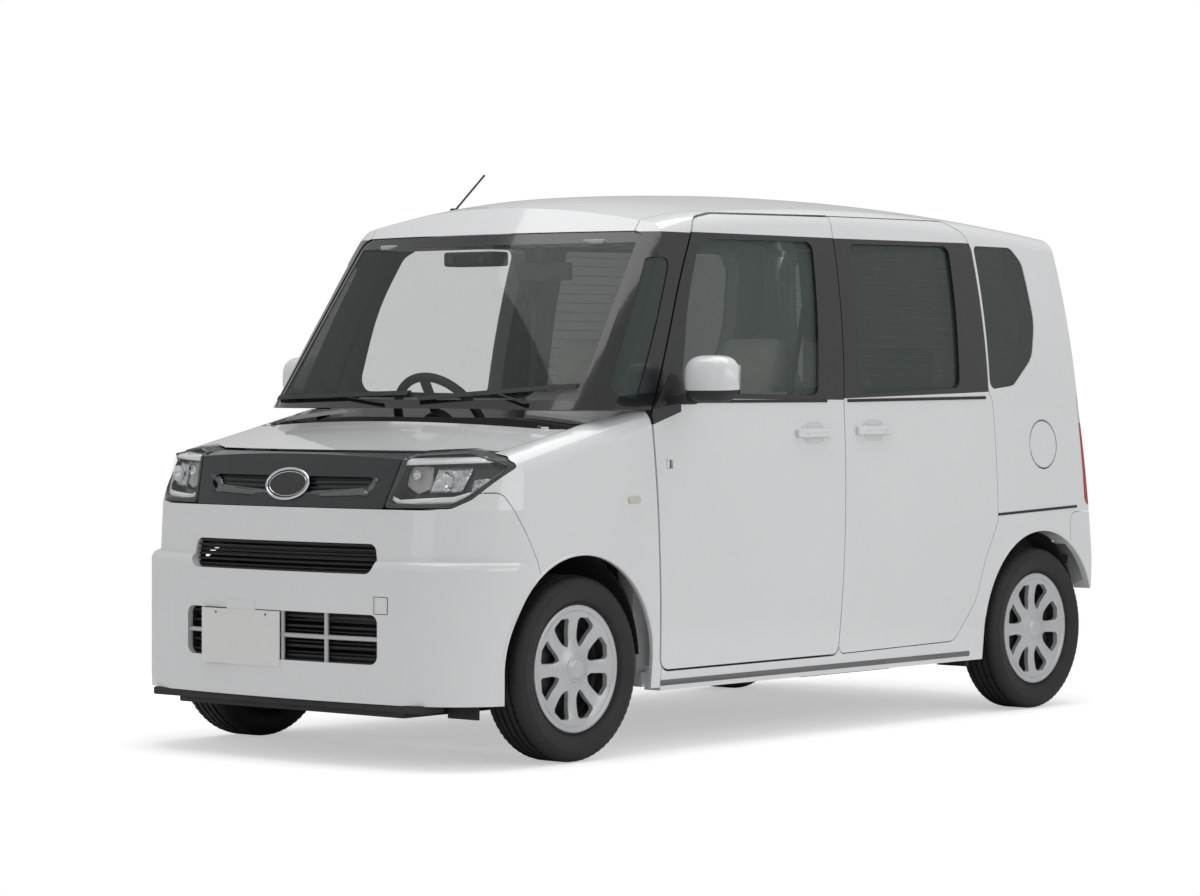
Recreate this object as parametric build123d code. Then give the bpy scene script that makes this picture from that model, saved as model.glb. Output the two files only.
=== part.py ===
from build123d import *
import os
from math import acos, asin, cos, hypot, pi, sin, sqrt

os.makedirs("parts", exist_ok=True)

# A very small tall wagon with five doors: hinged front doors, sliding rear doors and a tailgate.
# Millimetres. +X forward, +Y to the car's left, +Z up, origin on the ground at the middle.

# Overall size
LENGTH = 3395.0
WIDTH = 1475.0
HEIGHT = 1755.0
WHEELBASE = 2460.0
FRONT_OVERHANG = 556.0
TRACK = 1290.0
GROUND_CLEARANCE = 150.0

HALF = WIDTH / 2
NOSE_X = LENGTH / 2
TAIL_X = -LENGTH / 2
FRONT_AXLE_X = NOSE_X - FRONT_OVERHANG
REAR_AXLE_X = FRONT_AXLE_X - WHEELBASE
WHEEL_Y = TRACK / 2

# Wheels and tyres
TYRE_WIDTH = 155.0
TYRE_RADIUS = 278.5
RIM_RADIUS = 190.0
RIM_WIDTH = 128.0
SPOKES = 8
HUB_RADIUS = 60.0
ARCH_RADIUS = 338.0
WELL_RADIUS = 352.0
WELL_WALL_Y = 395.0

# Clearances and walls
SHUT_GAP = 6.5
HINGE_GAP = 8.0
SEAM = 3.0
SEAT_GAP = 0.3
WALL = 62.0
SKIN = 8.0
FRAME_DEPTH = 28.0
PANEL = 12.0
GLASS_DEPTH = 10.0
GLASS = 4.5
PIN_PLAY = 0.1

# Side section: sill, widest line, belt line, middle of the glass and the roof rail
SILL_Z = 190.0
SILL_Y = HALF - 24.0
BULGE_Z = 610.0
BULGE_Y = HALF - 4.0
BELT_Z = 1042.0
BELT_Y = HALF - 24.0
MID_GLASS_Z = 1340.0
MID_GLASS_Y = HALF - 50.0
RAIL_Z = 1640.0
RAIL_Y = HALF - 109.0
RAIL_RADIUS = 70.0
ROOF_CROWN = 2800.0

# Side profile of the roof, as heights at the windscreen header, the top and the tail
ROOF_FRONT = (400.0, HEIGHT - 28.5)
ROOF_TOP = (-391.0, HEIGHT)
ROOF_TAIL = (-1560.0, HEIGHT - 61.0)
HEADER_CURVE = 1900.0
RAIL_BOTTOM_Z = 1608.0
RAIL_DEPTH = 50.0

# Windscreen: base on the centre line, slope, plan curve and corner
SCREEN_BASE_X = 1169.0
SCREEN_SLOPE = 0.73
SCREEN_CURVE = 2200.0
SCREEN_CORNER = 260.0

# Tail: face at the bumper's top, lean, plan curve and corner
TAIL_BASE_Z = 640.0
TAIL_BASE_X = TAIL_X + 16.0
TAIL_LEAN = 0.12
TAIL_CURVE = 4500.0

# Nose: bonnet slope and crown, face planes and plan corners
BONNET_SLOPE = 0.225
BONNET_CROWN = 5000.0
SHOULDER_RADIUS = 75.0
BONNET_AT_COWL = (1045.0, 1046.0)
GRILLE_TOP_Z = 921.0
GRILLE_BOTTOM_Z = 757.0
NOSE_UPPER_X = NOSE_X - 22.0
NOSE_UPPER_LEAN = 0.35
NOSE_LOWER_LEAN = 0.06
NOSE_CURVE = 3800.0
NOSE_CORNER = 330.0
BUMPER_TOP_Z = 610.0
BUMPER_CORNER = 285.0
BUMPER_SETBACK = 2.5

# Floor, sills and firewall
FLOOR_Z = 210.0
FLOOR_DEPTH = 40.0
FLOOR_HALF = 640.0
SILL_INNER_Y = 582.0
SILL_TOP_Z = FLOOR_Z + FLOOR_DEPTH - 5
LINER = 8.0
FIREWALL_X = 985.0
FIREWALL_DEPTH = 25.0
REAR_FLOOR_Z = 520.0

# Front door edges, as (x, z, corner radius)
FRONT_DOOR = [
    (760, 254, 40), (778, 588, 400), (796, 1040, 25), (700, 1256, 1500), (616, 1436, 1500),
    (483, 1640, 90), (374, 1658, 60), (-228, 1668, 6), (-186, 1076, 3000), (-146, 254, 30),
]
FRONT_WINDOW = [
    (656, 1100, 45), (589, 1375, 900), (502, 1540, 60), (425, 1578, 60), (-106, 1584, 30), (-48, 1088, 30),
]
SLIDING_DOOR = [
    (-150, 254, 30), (-190, 1076, 3000), (-232, 1670, 6), (-893, 1676, 60), (-980, 1640, 60),
    (-1012, 1590, 60), (-1018, 1104, 40), (-1042, 1060, 40), (-1047, 660, 60), (-968, 525, 200),
    (-920, 391, 200), (-802, 262, 60),
]
SLIDING_WINDOW = [(-274, 1092, 30), (-306, 1583, 30), (-877, 1591, 30), (-848, 1113, 30)]
REAR_QUARTER_WINDOW = [
    (-1030, 1106, 30), (-1176, 1120, 60), (-1300, 1215, 90), (-1335, 1340, 200), (-1310, 1545, 60),
    (-1254, 1597, 50), (-1028, 1597, 20),
]
FRONT_QUARTER_WINDOW = [(985, 1088, 30), (724, 1514, 20), (642, 1514, 20), (869, 1078, 20)]

# Front door hinge
HINGE_X = 728.0
HINGE_Y = HALF - 21.5
HINGE_HEIGHTS = (400.0, 880.0)
HINGE_PIN = 5.0
HINGE_RING = 9.0
HINGE_TALL = 24.0
DOOR_STEP = 12.0
FRONT_HANDLE = (-11.0, 968.0)
SLIDING_HANDLE = (-336.0, 974.0)
SLIDE_STEP = 10.0

# Tailgate and bonnet hinges
GATE_HINGE = (-1400.0, 1622.0)
GATE_HINGE_Y = 530.0
GATE_EDGE_RADIUS = 120.0
GATE_DEPTH = 45.0
GATE_DROP = 130.0
GATE = [(-540, 1760, 20), (-560, 1180, 300), (-596, 1060, 200), (-596, 566, 40),
        (596, 566, 40), (596, 1060, 200), (560, 1180, 300), (540, 1760, 20)]
REAR_WINDOW = [(-505, 1600, 60), (-530, 1120, 50), (530, 1120, 50), (505, 1600, 60)]
BONNET_HINGE = (1140.0, 992.0)
BONNET_SWEEP = 84.0
BONNET_HINGE_Y = 575.0
BONNET_DEPTH = 22.0
BONNET_EDGE = 14.0
BONNET_PLAN = [
    (1000, 640, 5), (1260, 640, 300), (1440, 618, 200), (1560, 540, 100), (1640, 400, 30),
    (1640, -400, 30), (1560, -540, 100), (1440, -618, 200), (1260, -640, 300), (1000, -640, 5),
]


def circle_of(a, b, c):
    """Centre and radius of the circle through three points of a plane."""
    ax, ay = a
    bx, by = b
    cx, cy = c
    d = 2 * (ax * (by - cy) + bx * (cy - ay) + cx * (ay - by))
    ux = ((ax**2 + ay**2) * (by - cy) + (bx**2 + by**2) * (cy - ay) + (cx**2 + cy**2) * (ay - by)) / d
    uy = ((ax**2 + ay**2) * (cx - bx) + (bx**2 + by**2) * (ax - cx) + (cx**2 + cy**2) * (bx - ax)) / d
    return (ux, uy), hypot(ax - ux, ay - uy)


def grow(points, amount):
    """The same rounded polygon with every side moved outwards by an amount."""
    n = len(points)
    area = sum(
        points[i][0] * points[(i + 1) % n][1] - points[(i + 1) % n][0] * points[i][1] for i in range(n)
    )
    turn = 1 if area > 0 else -1
    sides = []
    for i in range(n):
        (x0, y0, _), (x1, y1, _) = points[i], points[(i + 1) % n]
        size = hypot(x1 - x0, y1 - y0)
        nx, ny = turn * (y1 - y0) / size, -turn * (x1 - x0) / size
        sides.append((nx, ny, nx * x0 + ny * y0 + amount))
    moved = []
    for i in range(n):
        (a1, b1, c1), (a2, b2, c2) = sides[i - 1], sides[i]
        det = a1 * b2 - a2 * b1
        x, y = (c1 * b2 - c2 * b1) / det, (a1 * c2 - a2 * c1) / det
        (px, py, _), (qx, qy, r), (sx, sy, _) = points[i - 1], points[i], points[(i + 1) % n]
        bend = turn * ((qx - px) * (sy - qy) - (qy - py) * (sx - qx))
        moved.append((x, y, max(r + (amount if bend > 0 else -amount), 1.0)))
    return moved


def outline(points, plane):
    """A face bounded by a polygon whose corners are rounded, as (u, v, radius)."""
    n = len(points)
    starts, ends, mids = [], [], []
    for i in range(n):
        (px, py, _), (qx, qy, r), (sx, sy, _) = points[i - 1], points[i], points[(i + 1) % n]
        a = Vector(px - qx, py - qy).normalized()
        b = Vector(sx - qx, sy - qy).normalized()
        half = acos(max(-1.0, min(1.0, a.dot(b)))) / 2
        room = 0.48 * min(hypot(px - qx, py - qy), hypot(sx - qx, sy - qy))
        reach = min(r * cos(half) / sin(half), room)
        radius = reach * sin(half) / cos(half)
        corner = Vector(qx, qy)
        bisector = (a + b).normalized()
        starts.append(corner + a * reach)
        ends.append(corner + b * reach)
        mids.append(corner + bisector * (radius / sin(half) - radius))
    edges = []
    for i in range(n):
        edges.append(ThreePointArc(starts[i], mids[i], ends[i]))
        edges.append(Line(ends[i], starts[(i + 1) % n]))
    return plane * make_face(edges)


def side_prism(points, side, near=380.0, far=960.0):
    """A side-view outline in X and Z, run through one side of the car."""
    plane = Plane(origin=(0, side * near, 0), x_dir=(1, 0, 0), z_dir=(0, -1, 0))
    return extrude(outline(points, plane), far - near, dir=(0, side, 0))


def front_prism(points, x0, x1, side=1):
    """A front-view outline in Y and Z, run along the car."""
    flipped = [(side * y, z, r) for y, z, r in points]
    plane = Plane(origin=(x0, 0, 0), x_dir=(0, 1, 0), z_dir=(1, 0, 0))
    return extrude(outline(flipped, plane), x1 - x0, dir=(1, 0, 0))


def plan_prism(points, z0, z1):
    """A plan outline in X and Y, run upwards."""
    return extrude(outline(points, Plane.XY.offset(z0)), z1 - z0, dir=(0, 0, 1))


def block(x0, x1, y0, y1, z0, z1):
    """A box by its faces."""
    return Pos((x0 + x1) / 2, (y0 + y1) / 2, (z0 + z1) / 2) * Box(abs(x1 - x0), abs(y1 - y0), abs(z1 - z0))


def rod(x, y, z, radius, length, axis="Z"):
    """A cylinder centred on a point, along one axis."""
    turn = {"X": (0, 90, 0), "Y": (90, 0, 0), "Z": (0, 0, 0)}[axis]
    return Pos(x, y, z) * Rot(*turn) * Cylinder(radius, length)


def both(shape):
    """A left-hand piece and its mirror on the right."""
    return [shape, mirror(shape, about=Plane.XZ)]


def crossing(gap, low, high):
    """The height between two others where a difference changes sign."""
    rising = gap(high) > gap(low)
    for _ in range(60):
        middle = (low + high) / 2
        if (gap(middle) > 0) == rising:
            high = middle
        else:
            low = middle
    return (low + high) / 2


def section_face(inset, x):
    """The body's cross-section at one station, with its sides moved inwards."""
    def side_arc(low, mid, high):
        (cy, cz), r = circle_of(low, mid, high)
        r -= inset
        def at(z):
            return (cy + sqrt(r * r - (z - cz) ** 2), z)
        return at
    lower = side_arc((SILL_Y, SILL_Z), (BULGE_Y, BULGE_Z), (BELT_Y, BELT_Z))
    upper = side_arc((BELT_Y, BELT_Z), (MID_GLASS_Y, MID_GLASS_Z), (RAIL_Y, RAIL_Z))
    z_low, z_high = 60.0, HEIGHT + 60
    crease = crossing(lambda z: lower(z)[0] - upper(z)[0], BELT_Z - 80, BELT_Z + 80)
    knots = [lower(z_low), lower(BULGE_Z), lower(crease)]
    above = [lower(crease), upper(MID_GLASS_Z), upper(z_high)]
    left = [ThreePointArc(*knots), ThreePointArc(*above)]
    right = [mirror(edge, about=Plane.YZ) for edge in left]
    closing = [Line((-knots[0][0], z_low), knots[0]), Line(above[2], (-above[2][0], z_high))]
    plane = Plane(origin=(x, 0, 0), x_dir=(0, 1, 0), z_dir=(1, 0, 0))
    return plane * make_face(left + right + closing)


def roof_body(inset):
    """The space under the roof's outer surface, crowned across the car."""
    (cx, cz), r = circle_of(ROOF_FRONT, ROOF_TOP, ROOF_TAIL)
    join = Vector(ROOF_FRONT[0] - cx, ROOF_FRONT[1] - cz).normalized()
    hub = Vector(cx, cz) + join * (r - HEADER_CURVE)
    x0, x1, low = TAIL_X - 100, SCREEN_BASE_X + 120, 80.0

    def roof_at(x):
        return Vector(x, cz + sqrt((r - inset) ** 2 - (x - cx) ** 2))

    def header_at(x):
        return Vector(x, hub.Y + sqrt((HEADER_CURVE - inset) ** 2 - (x - hub.X) ** 2))
    meet = Vector(cx, cz) + join * (r - inset)
    edges = [
        ThreePointArc(roof_at(x0), roof_at(ROOF_TOP[0]), meet),
        ThreePointArc(meet, header_at((meet.X + x1) / 2), header_at(x1)),
        Line(header_at(x1), (x1, low)), Line((x1, low), (x0, low)), Line((x0, low), roof_at(x0)),
    ]
    hub_z = HEIGHT - ROOF_CROWN
    face = Plane(origin=(0, 0, 0), x_dir=(1, 0, 0), z_dir=(0, -1, 0)) * make_face(edges)
    axis = Axis((0, 0, hub_z), (1, 0, 0))
    return revolve(face.rotate(axis, -36), axis, 72)


def plan_front(x0, curve, corner, half, inset, back):
    """A plan outline with a curved front and round corners, moved inwards."""
    curve, corner, x0, half = curve - inset, corner - inset, x0 - inset, half - inset
    yc = half - corner
    s = yc / (curve - corner)
    yj, drop = curve * s, curve * (1 - sqrt(1 - s * s))
    xj = x0 - drop
    xc = xj - corner * sqrt(1 - s * s)
    mid = (asin(s) + pi / 2) / 2
    edges = [
        ThreePointArc((xj, -yj), (x0, 0), (xj, yj)),
        ThreePointArc((xj, yj), (xc + corner * cos(mid), yc + corner * sin(mid)), (xc, half)),
        Line((xc, half), (back, half)), Line((back, half), (back, -half)), Line((back, -half), (xc, -half)),
        ThreePointArc((xc, -half), (xc + corner * cos(mid), -yc - corner * sin(mid)), (xj, -yj)),
    ]
    return make_face(edges)


def leaning_prism(face, z_ref, lean, z0, z1):
    """A plan outline that is true at one height and runs up and down along a slope."""
    start = Pos(lean * (z0 - z_ref), 0, z0) * face
    return extrude(start, hypot(1, lean) * (z1 - z0), dir=(lean, 0, 1))


def screen_body(inset):
    """The space behind the windscreen's outer surface."""
    slant = hypot(1, SCREEN_SLOPE)
    face = plan_front(SCREEN_BASE_X, SCREEN_CURVE, SCREEN_CORNER, BELT_Y + 40, 0, TAIL_X - 400)
    return leaning_prism(Pos(-inset * slant, 0, 0) * face, BELT_Z, -SCREEN_SLOPE, 60, HEIGHT + 60)


def tail_body(inset):
    """The space ahead of the tail's outer surface, with round rear corners."""
    curve = TAIL_CURVE - inset
    back = TAIL_BASE_X + inset
    front = NOSE_X + 200
    y = HALF + 60
    drop = curve - sqrt(curve**2 - y**2)
    face = make_face([
        ThreePointArc((back + drop, y), (back, 0), (back + drop, -y)), Line((back + drop, -y), (front, -y)),
        Line((front, -y), (front, y)), Line((front, y), (back + drop, y)),
    ])
    upright = Pos(TAIL_X - TAIL_BASE_X, 0, 0) * face
    return leaning_prism(face, TAIL_BASE_Z, TAIL_LEAN, 60, HEIGHT + 60) & extrude(
        Pos(0, 0, 60) * upright, HEIGHT, dir=(0, 0, 1))


def cabin_sides(inset):
    """The long box of the body's sides and roof, before the nose and tail close it."""
    box = extrude(section_face(inset, TAIL_X - 40), LENGTH + 80, dir=(1, 0, 0)) & roof_body(inset)
    rails = [
        e for e in box.edges()
        if e.length > 300 and abs(e.center().Y) > 500 and e.center().Z > 1200 and abs(e.tangent_at(0.5).X) > 0.5
    ]
    return fillet(rails, max(RAIL_RADIUS - inset, 8.0))


def front_sides(inset):
    """The front body's sides, shoulders and bonnet, run down along the bonnet's slope."""
    (cy, cz), r = circle_of((SILL_Y, SILL_Z), (BULGE_Y, BULGE_Z), (BELT_Y, BELT_Z))
    r -= inset
    x_ref = FRONT_DOOR[0][0]
    top = BONNET_AT_COWL[1] + BONNET_SLOPE * (BONNET_AT_COWL[0] - x_ref) - inset * hypot(1, BONNET_SLOPE)
    crown = BONNET_CROWN - inset
    def side(z):
        return cy + sqrt(r * r - (z - cz) ** 2)
    low = -200.0
    z_edge = top - (crown - sqrt(crown**2 - side(top) ** 2))
    y_edge = side(z_edge)
    z_edge = top - (crown - sqrt(crown**2 - y_edge**2))
    y_edge = side(z_edge)
    edges = [
        ThreePointArc((side(low), low), (side(BULGE_Z), BULGE_Z), (y_edge, z_edge)),
        ThreePointArc((y_edge, z_edge), (0, top), (-y_edge, z_edge)),
        ThreePointArc((-y_edge, z_edge), (-side(BULGE_Z), BULGE_Z), (-side(low), low)),
        Line((-side(low), low), (side(low), low)),
    ]
    face = make_face(edges)
    corners = [v for v in face.vertices() if v.Y > z_edge - 5]
    face = fillet(corners, max(SHOULDER_RADIUS - inset, 6.0))
    plane = Plane(origin=(x_ref, 0, 0), x_dir=(0, 1, 0), z_dir=(1, 0, 0))
    run = NOSE_X + 100 - x_ref
    return extrude(plane * face, run * hypot(1, BONNET_SLOPE), dir=(1, 0, -BONNET_SLOPE))


def nose_body(inset):
    """The space behind the grille, lamps and bumper."""
    back = 500.0
    upper = plan_front(NOSE_UPPER_X, NOSE_CURVE, NOSE_CORNER, HALF, inset, back)
    face = leaning_prism(upper, BUMPER_TOP_Z, -NOSE_LOWER_LEAN, 60, HEIGHT)
    step = NOSE_LOWER_LEAN * (GRILLE_BOTTOM_Z - BUMPER_TOP_Z)
    face &= leaning_prism(Pos(-step, 0, 0) * upper, GRILLE_BOTTOM_Z, -NOSE_UPPER_LEAN, 60, HEIGHT)
    face &= block(back - 50, NOSE_X + 50, -HALF, HALF, BUMPER_TOP_Z - 100, HEIGHT)
    lower = plan_front(NOSE_X - BUMPER_SETBACK, NOSE_CURVE, BUMPER_CORNER, HALF, inset, back)
    bumper = extrude(Pos(0, 0, 60) * lower, BUMPER_TOP_Z - inset - 60, dir=(0, 0, 1))
    rim = [e for e in bumper.edges() if e.center().Z > BUMPER_TOP_Z - inset - 1 and e.center().X > back + 5]
    return face + fillet(rim, 30)


hulls = {}


def hull(kind, inset):
    """One of the body's outer forms moved inwards, kept so that it is made once."""
    if (kind, inset) not in hulls:
        if kind == "cabin":
            body = cabin_sides(inset) & screen_body(inset) & tail_body(inset)
        elif kind == "side":
            body = cabin_sides(inset)
        else:
            body = front_sides(inset) & nose_body(inset)
        hulls[(kind, inset)] = body
    return hulls[(kind, inset)]


def layer(kind, outer, inner, prism):
    """The stretch of the body's wall between two depths, inside a prism."""
    return (hull(kind, outer) & prism) - (hull(kind, inner) & prism)


# Shared outlines that several pieces are cut to
SCREEN = [(-652, 1048, 30), (652, 1048, 30), (598, 1594, 45), (-598, 1594, 45)]
PILLAR_ZONE = [(1330, 1046, 1), (1330, 1594, 1), (505, 1594, 1), (505, 1046, 1)]
LAMP = [
    (392, 762, 12), (424, 922, 12), (560, 930, 40), (672, 912, 30), (706, 886, 12), (640, 790, 40), (600, 764, 30),
]
GRILLE = [(-386, 759, 10), (386, 759, 10), (418, 920, 10), (-418, 920, 10)]
GRILLE_SLOTS = [(66, 796, 14), (318, 804, 14), (348, 826, 14), (318, 850, 14), (66, 850, 14)]
UPPER_INTAKE = [(-386, 568, 34), (386, 568, 34), (372, 656, 26), (-372, 656, 26)]
LOWER_INTAKE = [(-396, 304, 26), (396, 304, 26), (396, 450, 26), (-396, 450, 26)]
BUMPER_ZONE = [
    (1349, 607, 1), (1462, 806, 30), (1520, 806, 60), (1600, 757, 60), (1820, 757, 1), (1820, 150, 1),
    (1200, 150, 1),
]
TAIL_LAMP_ZONE = [(-1800, 1130, 5), (-1800, 700, 5), (-1590, 700, 30), (-1560, 1130, 60)]
REAR_BUMPER_ZONE = [(-1800, 676, 1), (-1500, 676, 30), (-1500, 150, 1), (-1800, 150, 1)]
WIPERS = (
    ((-80, 1064, 3), (-640, 1072, 3), (20, 1090, 3)),
    ((470, 1064, 3), (70, 1072, 3), (610, 1112, 3)),
)
ANTENNA = (430.0, -430.0, 1688.0)
ANTENNA_LEAN = (149.0, 131.0)
PLATE = (-146.0, 365.0)
PLATE_SIZE = (330.0, 165.0)
PLATE_BOLTS = 210.0
ROOF_SEAM_Y = 556.0
ROOF_DEPTH = 35.0
FUEL_LID = (-1338.0, 916.0)
FUEL_LID_RADIUS = 80.0
FUEL_HINGE = (-1258.0, 723.0)


def well(x, radius, side, near=WELL_WALL_Y):
    """The round space above a wheel, from its inner wall outwards."""
    y0, y1 = side * near, side * (HALF + 80)
    hollow = rod(x, (y0 + y1) / 2, TYRE_RADIUS, radius, abs(y1 - y0), "Y")
    return hollow + block(x - radius, x + radius, y0, y1, -50, TYRE_RADIUS)


def gate_ring(radius):
    """A round bar about the tailgate's hinge line."""
    return rod(GATE_HINGE[0], 0, GATE_HINGE[1], radius, WIDTH, "Y")


def gate_opening():
    """What the tailgate needs free in the body behind it."""
    return front_prism(grow(GATE, SHUT_GAP), TAIL_X - 60, GATE_HINGE[0] + 20) - gate_ring(
        GATE_EDGE_RADIUS - SHUT_GAP)


def door_openings(side):
    """The doorways of one side, larger than the doors by their gaps."""
    front = side_prism(grow(FRONT_DOOR, SHUT_GAP), side) + side_prism(
        [(x + HINGE_GAP, z, r) for x, z, r in FRONT_DOOR], side)
    return front + side_prism(grow(SLIDING_DOOR, SEAM), side)


def make_body_sides():
    """Rear quarters, roof rails, sills and door posts, each side one pressing."""
    side = 1
    zone = side_prism([(-1800, SILL_Z, 1), (757, SILL_Z, 1), (757, 1040, 1), (560, 1040, 1), (560, 1800, 1),
                       (-1800, 1800, 1)], side, near=ROOF_SEAM_Y + SEAM)
    zone += side_prism(
        [(480, 1500, 1), (900, 1500, 1), (900, 1800, 1), (480, 1800, 1)], side, near=ROOF_SEAM_Y + SEAM)
    panel = layer("cabin", 0, WALL, zone)
    panel -= door_openings(side)
    panel -= side_prism(grow(PILLAR_ZONE, SEAT_GAP), side)
    panel -= front_prism(grow(SCREEN, SEAM), 500, 1300)
    panel -= side_prism(grow(REAR_QUARTER_WINDOW, 0), side)
    panel -= well(REAR_AXLE_X, ARCH_RADIUS, side) + well(FRONT_AXLE_X, WELL_RADIUS, side)
    panel -= gate_opening()
    rail = side_prism(
        [(-1350, RAIL_BOTTOM_Z, 1), (620, RAIL_BOTTOM_Z, 1), (620, 1800, 1), (-1350, 1800, 1)], side, near=500)
    panel += layer("cabin", ROOF_DEPTH + 1, ROOF_DEPTH + 1 + RAIL_DEPTH, rail) - gate_opening()
    panel -= side_prism(TAIL_LAMP_ZONE, side, near=596) - hull("cabin", GATE_DEPTH)
    panel -= side_prism(grow(REAR_BUMPER_ZONE, SEAM), side)
    x, z = FUEL_LID
    panel -= rod(x, HALF, z, FUEL_LID_RADIUS + SHUT_GAP, 80, "Y")
    x, y = FUEL_HINGE
    for up in (1, -1):
        panel += rod(x, y, z + up * 17, 4.5, 8) + block(x - 4.5, x + 4.5, HALF - 44, y, z + up * 13, z + up * 21)
    panel -= rod(x, y, z, 2 + PIN_PLAY, 48)
    post = block(HINGE_X - 16, 800, SILL_INNER_Y, HINGE_Y - 74, SILL_Z + 10, BELT_Z + 2)
    sill = block(-940, 800, SILL_INNER_Y, 660, SILL_Z + 10, SILL_TOP_Z)
    panel += (post + sill) - well(FRONT_AXLE_X, WELL_RADIUS + LINER + SEAT_GAP, side)
    for z in HINGE_HEIGHTS:
        ring = rod(HINGE_X, HINGE_Y, z, HINGE_RING, HINGE_TALL)
        web = block(
            HINGE_X - HINGE_RING, HINGE_X + 1, HINGE_Y - 76, HINGE_Y - 6, z - HINGE_TALL / 2, z + HINGE_TALL / 2)
        panel += ring + web
        panel -= rod(HINGE_X, HINGE_Y, z, HINGE_PIN + PIN_PLAY, HINGE_TALL + 4)
    return both(panel)


def make_windscreen_pillars():
    """Slim double pillars either side of the windscreen, with a fixed pane between them."""
    pillar = layer("cabin", 0, WALL, side_prism(PILLAR_ZONE, 1))
    pillar -= side_prism(grow(FRONT_DOOR, SHUT_GAP), 1) + front_prism(SCREEN, 500, 1300)
    pillar -= side_prism(FRONT_QUARTER_WINDOW, 1)
    pillar -= side_prism([(x + HINGE_GAP, z, r) for x, z, r in FRONT_DOOR], 1)
    return both(pillar)


def make_quarter_windows():
    """The fixed panes of the windscreen pillars and the rear quarters."""
    panes = []
    for shape in (FRONT_QUARTER_WINDOW, REAR_QUARTER_WINDOW):
        panes += both(layer("cabin", 3, 3 + GLASS, side_prism(grow(shape, -SEAT_GAP), 1)))
    return panes


def make_roof_panel():
    """Crowned roof with the header over the windscreen and the rail over the tailgate."""
    zone = block(-1800, 1300, -ROOF_SEAM_Y, ROOF_SEAM_Y, SCREEN[2][1] + SEAM, 1850)
    roof = layer("cabin", 0, ROOF_DEPTH, zone)
    roof -= front_prism(grow(SCREEN, SEAM), 500, 1300) + gate_opening()
    rail_y = GATE_HINGE_Y
    x, z = GATE_HINGE
    for side in (1, -1):
        y = side * rail_y
        roof -= block(x - 115, x + 16, y - 15, y + 15, z - 80, z + 14)
        for edge in (y - 14.5, y + 14.5):
            roof += block(x - 14, x + 14, edge - 3.5, edge + 3.5, z - 14, z + 24)
        roof -= rod(x, y, z, 5 + PIN_PLAY, 60, "Y")
    return [roof]


def make_front_door():
    """Left front door with its window cut, hinge ears and pins."""
    edge = ROOF_SEAM_Y + SHUT_GAP
    door = layer("side", 0, SKIN, side_prism(FRONT_DOOR, 1, edge))
    inner = side_prism(grow(FRONT_DOOR, -DOOR_STEP), 1, edge)
    low = block(-1200, 900, 0, HALF, 0, RAIL_BOTTOM_Z - SHUT_GAP)
    set_back = block(HINGE_X - 28, 900, 0, HALF, 0, BELT_Z + 40)
    door += (layer("side", SKIN, FRAME_DEPTH, inner) + layer("side", FRAME_DEPTH, WALL, inner & low)) - set_back
    door -= side_prism(FRONT_WINDOW, 1)
    for z in HINGE_HEIGHTS:
        pocket = block(
            HINGE_X - 18, HINGE_X + 14, HINGE_Y - 90, HINGE_Y + 11, z - HINGE_TALL / 2 - 2, z + HINGE_TALL / 2 + 2)
        door -= pocket
        for up in (1, -1):
            base = z + up * (HINGE_TALL / 2 + 1)
            door += block(HINGE_X - 40, HINGE_X + 7, HINGE_Y - 8, HINGE_Y + 8, base, base + up * 12)
        door += rod(HINGE_X, HINGE_Y, z, HINGE_PIN, HINGE_TALL + 8)
    return door + make_handle(*FRONT_HANDLE)


def make_handle(x, z):
    """Pull handle of a left-hand door on two feet."""
    bar = block(x - 95, x + 95, HALF - 11, HALF - 0.5, z - 13, z + 13)
    bar = fillet(bar.edges(), 4)
    return bar + block(x - 90, x - 62, HALF - 24, HALF - 8, z - 11, z + 11) + block(
        x + 62, x + 90, HALF - 24, HALF - 8, z - 11, z + 11)


def make_front_window():
    return layer("side", GLASS_DEPTH, GLASS_DEPTH + GLASS, side_prism(grow(FRONT_WINDOW, -SEAT_GAP), 1))


def make_sliding_doors():
    """Rear doors that slide back along the sill and quarter rails."""
    edge = ROOF_SEAM_Y + SEAM
    door = layer("side", 0, SKIN, side_prism(SLIDING_DOOR, 1, edge))
    inner = side_prism(grow(SLIDING_DOOR, -SLIDE_STEP), 1, edge)
    low = block(-1200, 900, 0, HALF, 0, RAIL_BOTTOM_Z - SEAM)
    door += layer("side", SKIN, FRAME_DEPTH, inner) + layer("side", FRAME_DEPTH, WALL, inner & low)
    door -= side_prism(SLIDING_WINDOW, 1) + well(REAR_AXLE_X, WELL_RADIUS, 1)
    door += block(-600, -500, 660, 700, 240, 280) & side_prism(grow(SLIDING_DOOR, SEAM - SEAT_GAP), 1)
    return both(door + make_handle(*SLIDING_HANDLE))


def make_sliding_door_windows():
    return both(layer("side", GLASS_DEPTH, GLASS_DEPTH + GLASS, side_prism(grow(SLIDING_WINDOW, -SEAT_GAP), 1)))


def make_bonnet():
    """Short bonnet that tips up at its nose, with two hinge lugs."""
    lid = layer("front", 0, BONNET_DEPTH, plan_prism(BONNET_PLAN, 860, 1200))
    lid -= screen_body(-BONNET_EDGE)
    lid &= block(900, 1700, -HALF, HALF, GRILLE_TOP_Z + SHUT_GAP, 1200)
    for side in (1, -1):
        lid -= front_prism(grow(LAMP, SHUT_GAP), 1400, 1800, side)
    x, z = BONNET_HINGE
    for side in (1, -1):
        y = side * BONNET_HINGE_Y
        lug = rod(x, y, z, 9, 14, "Y") + block(x - 9, x + 22, y - 7, y + 7, z, z + 40)
        lid += lug & hull("front", 4)
        lid += rod(x, y, z, 4, 34, "Y")
    return [lid]


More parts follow.
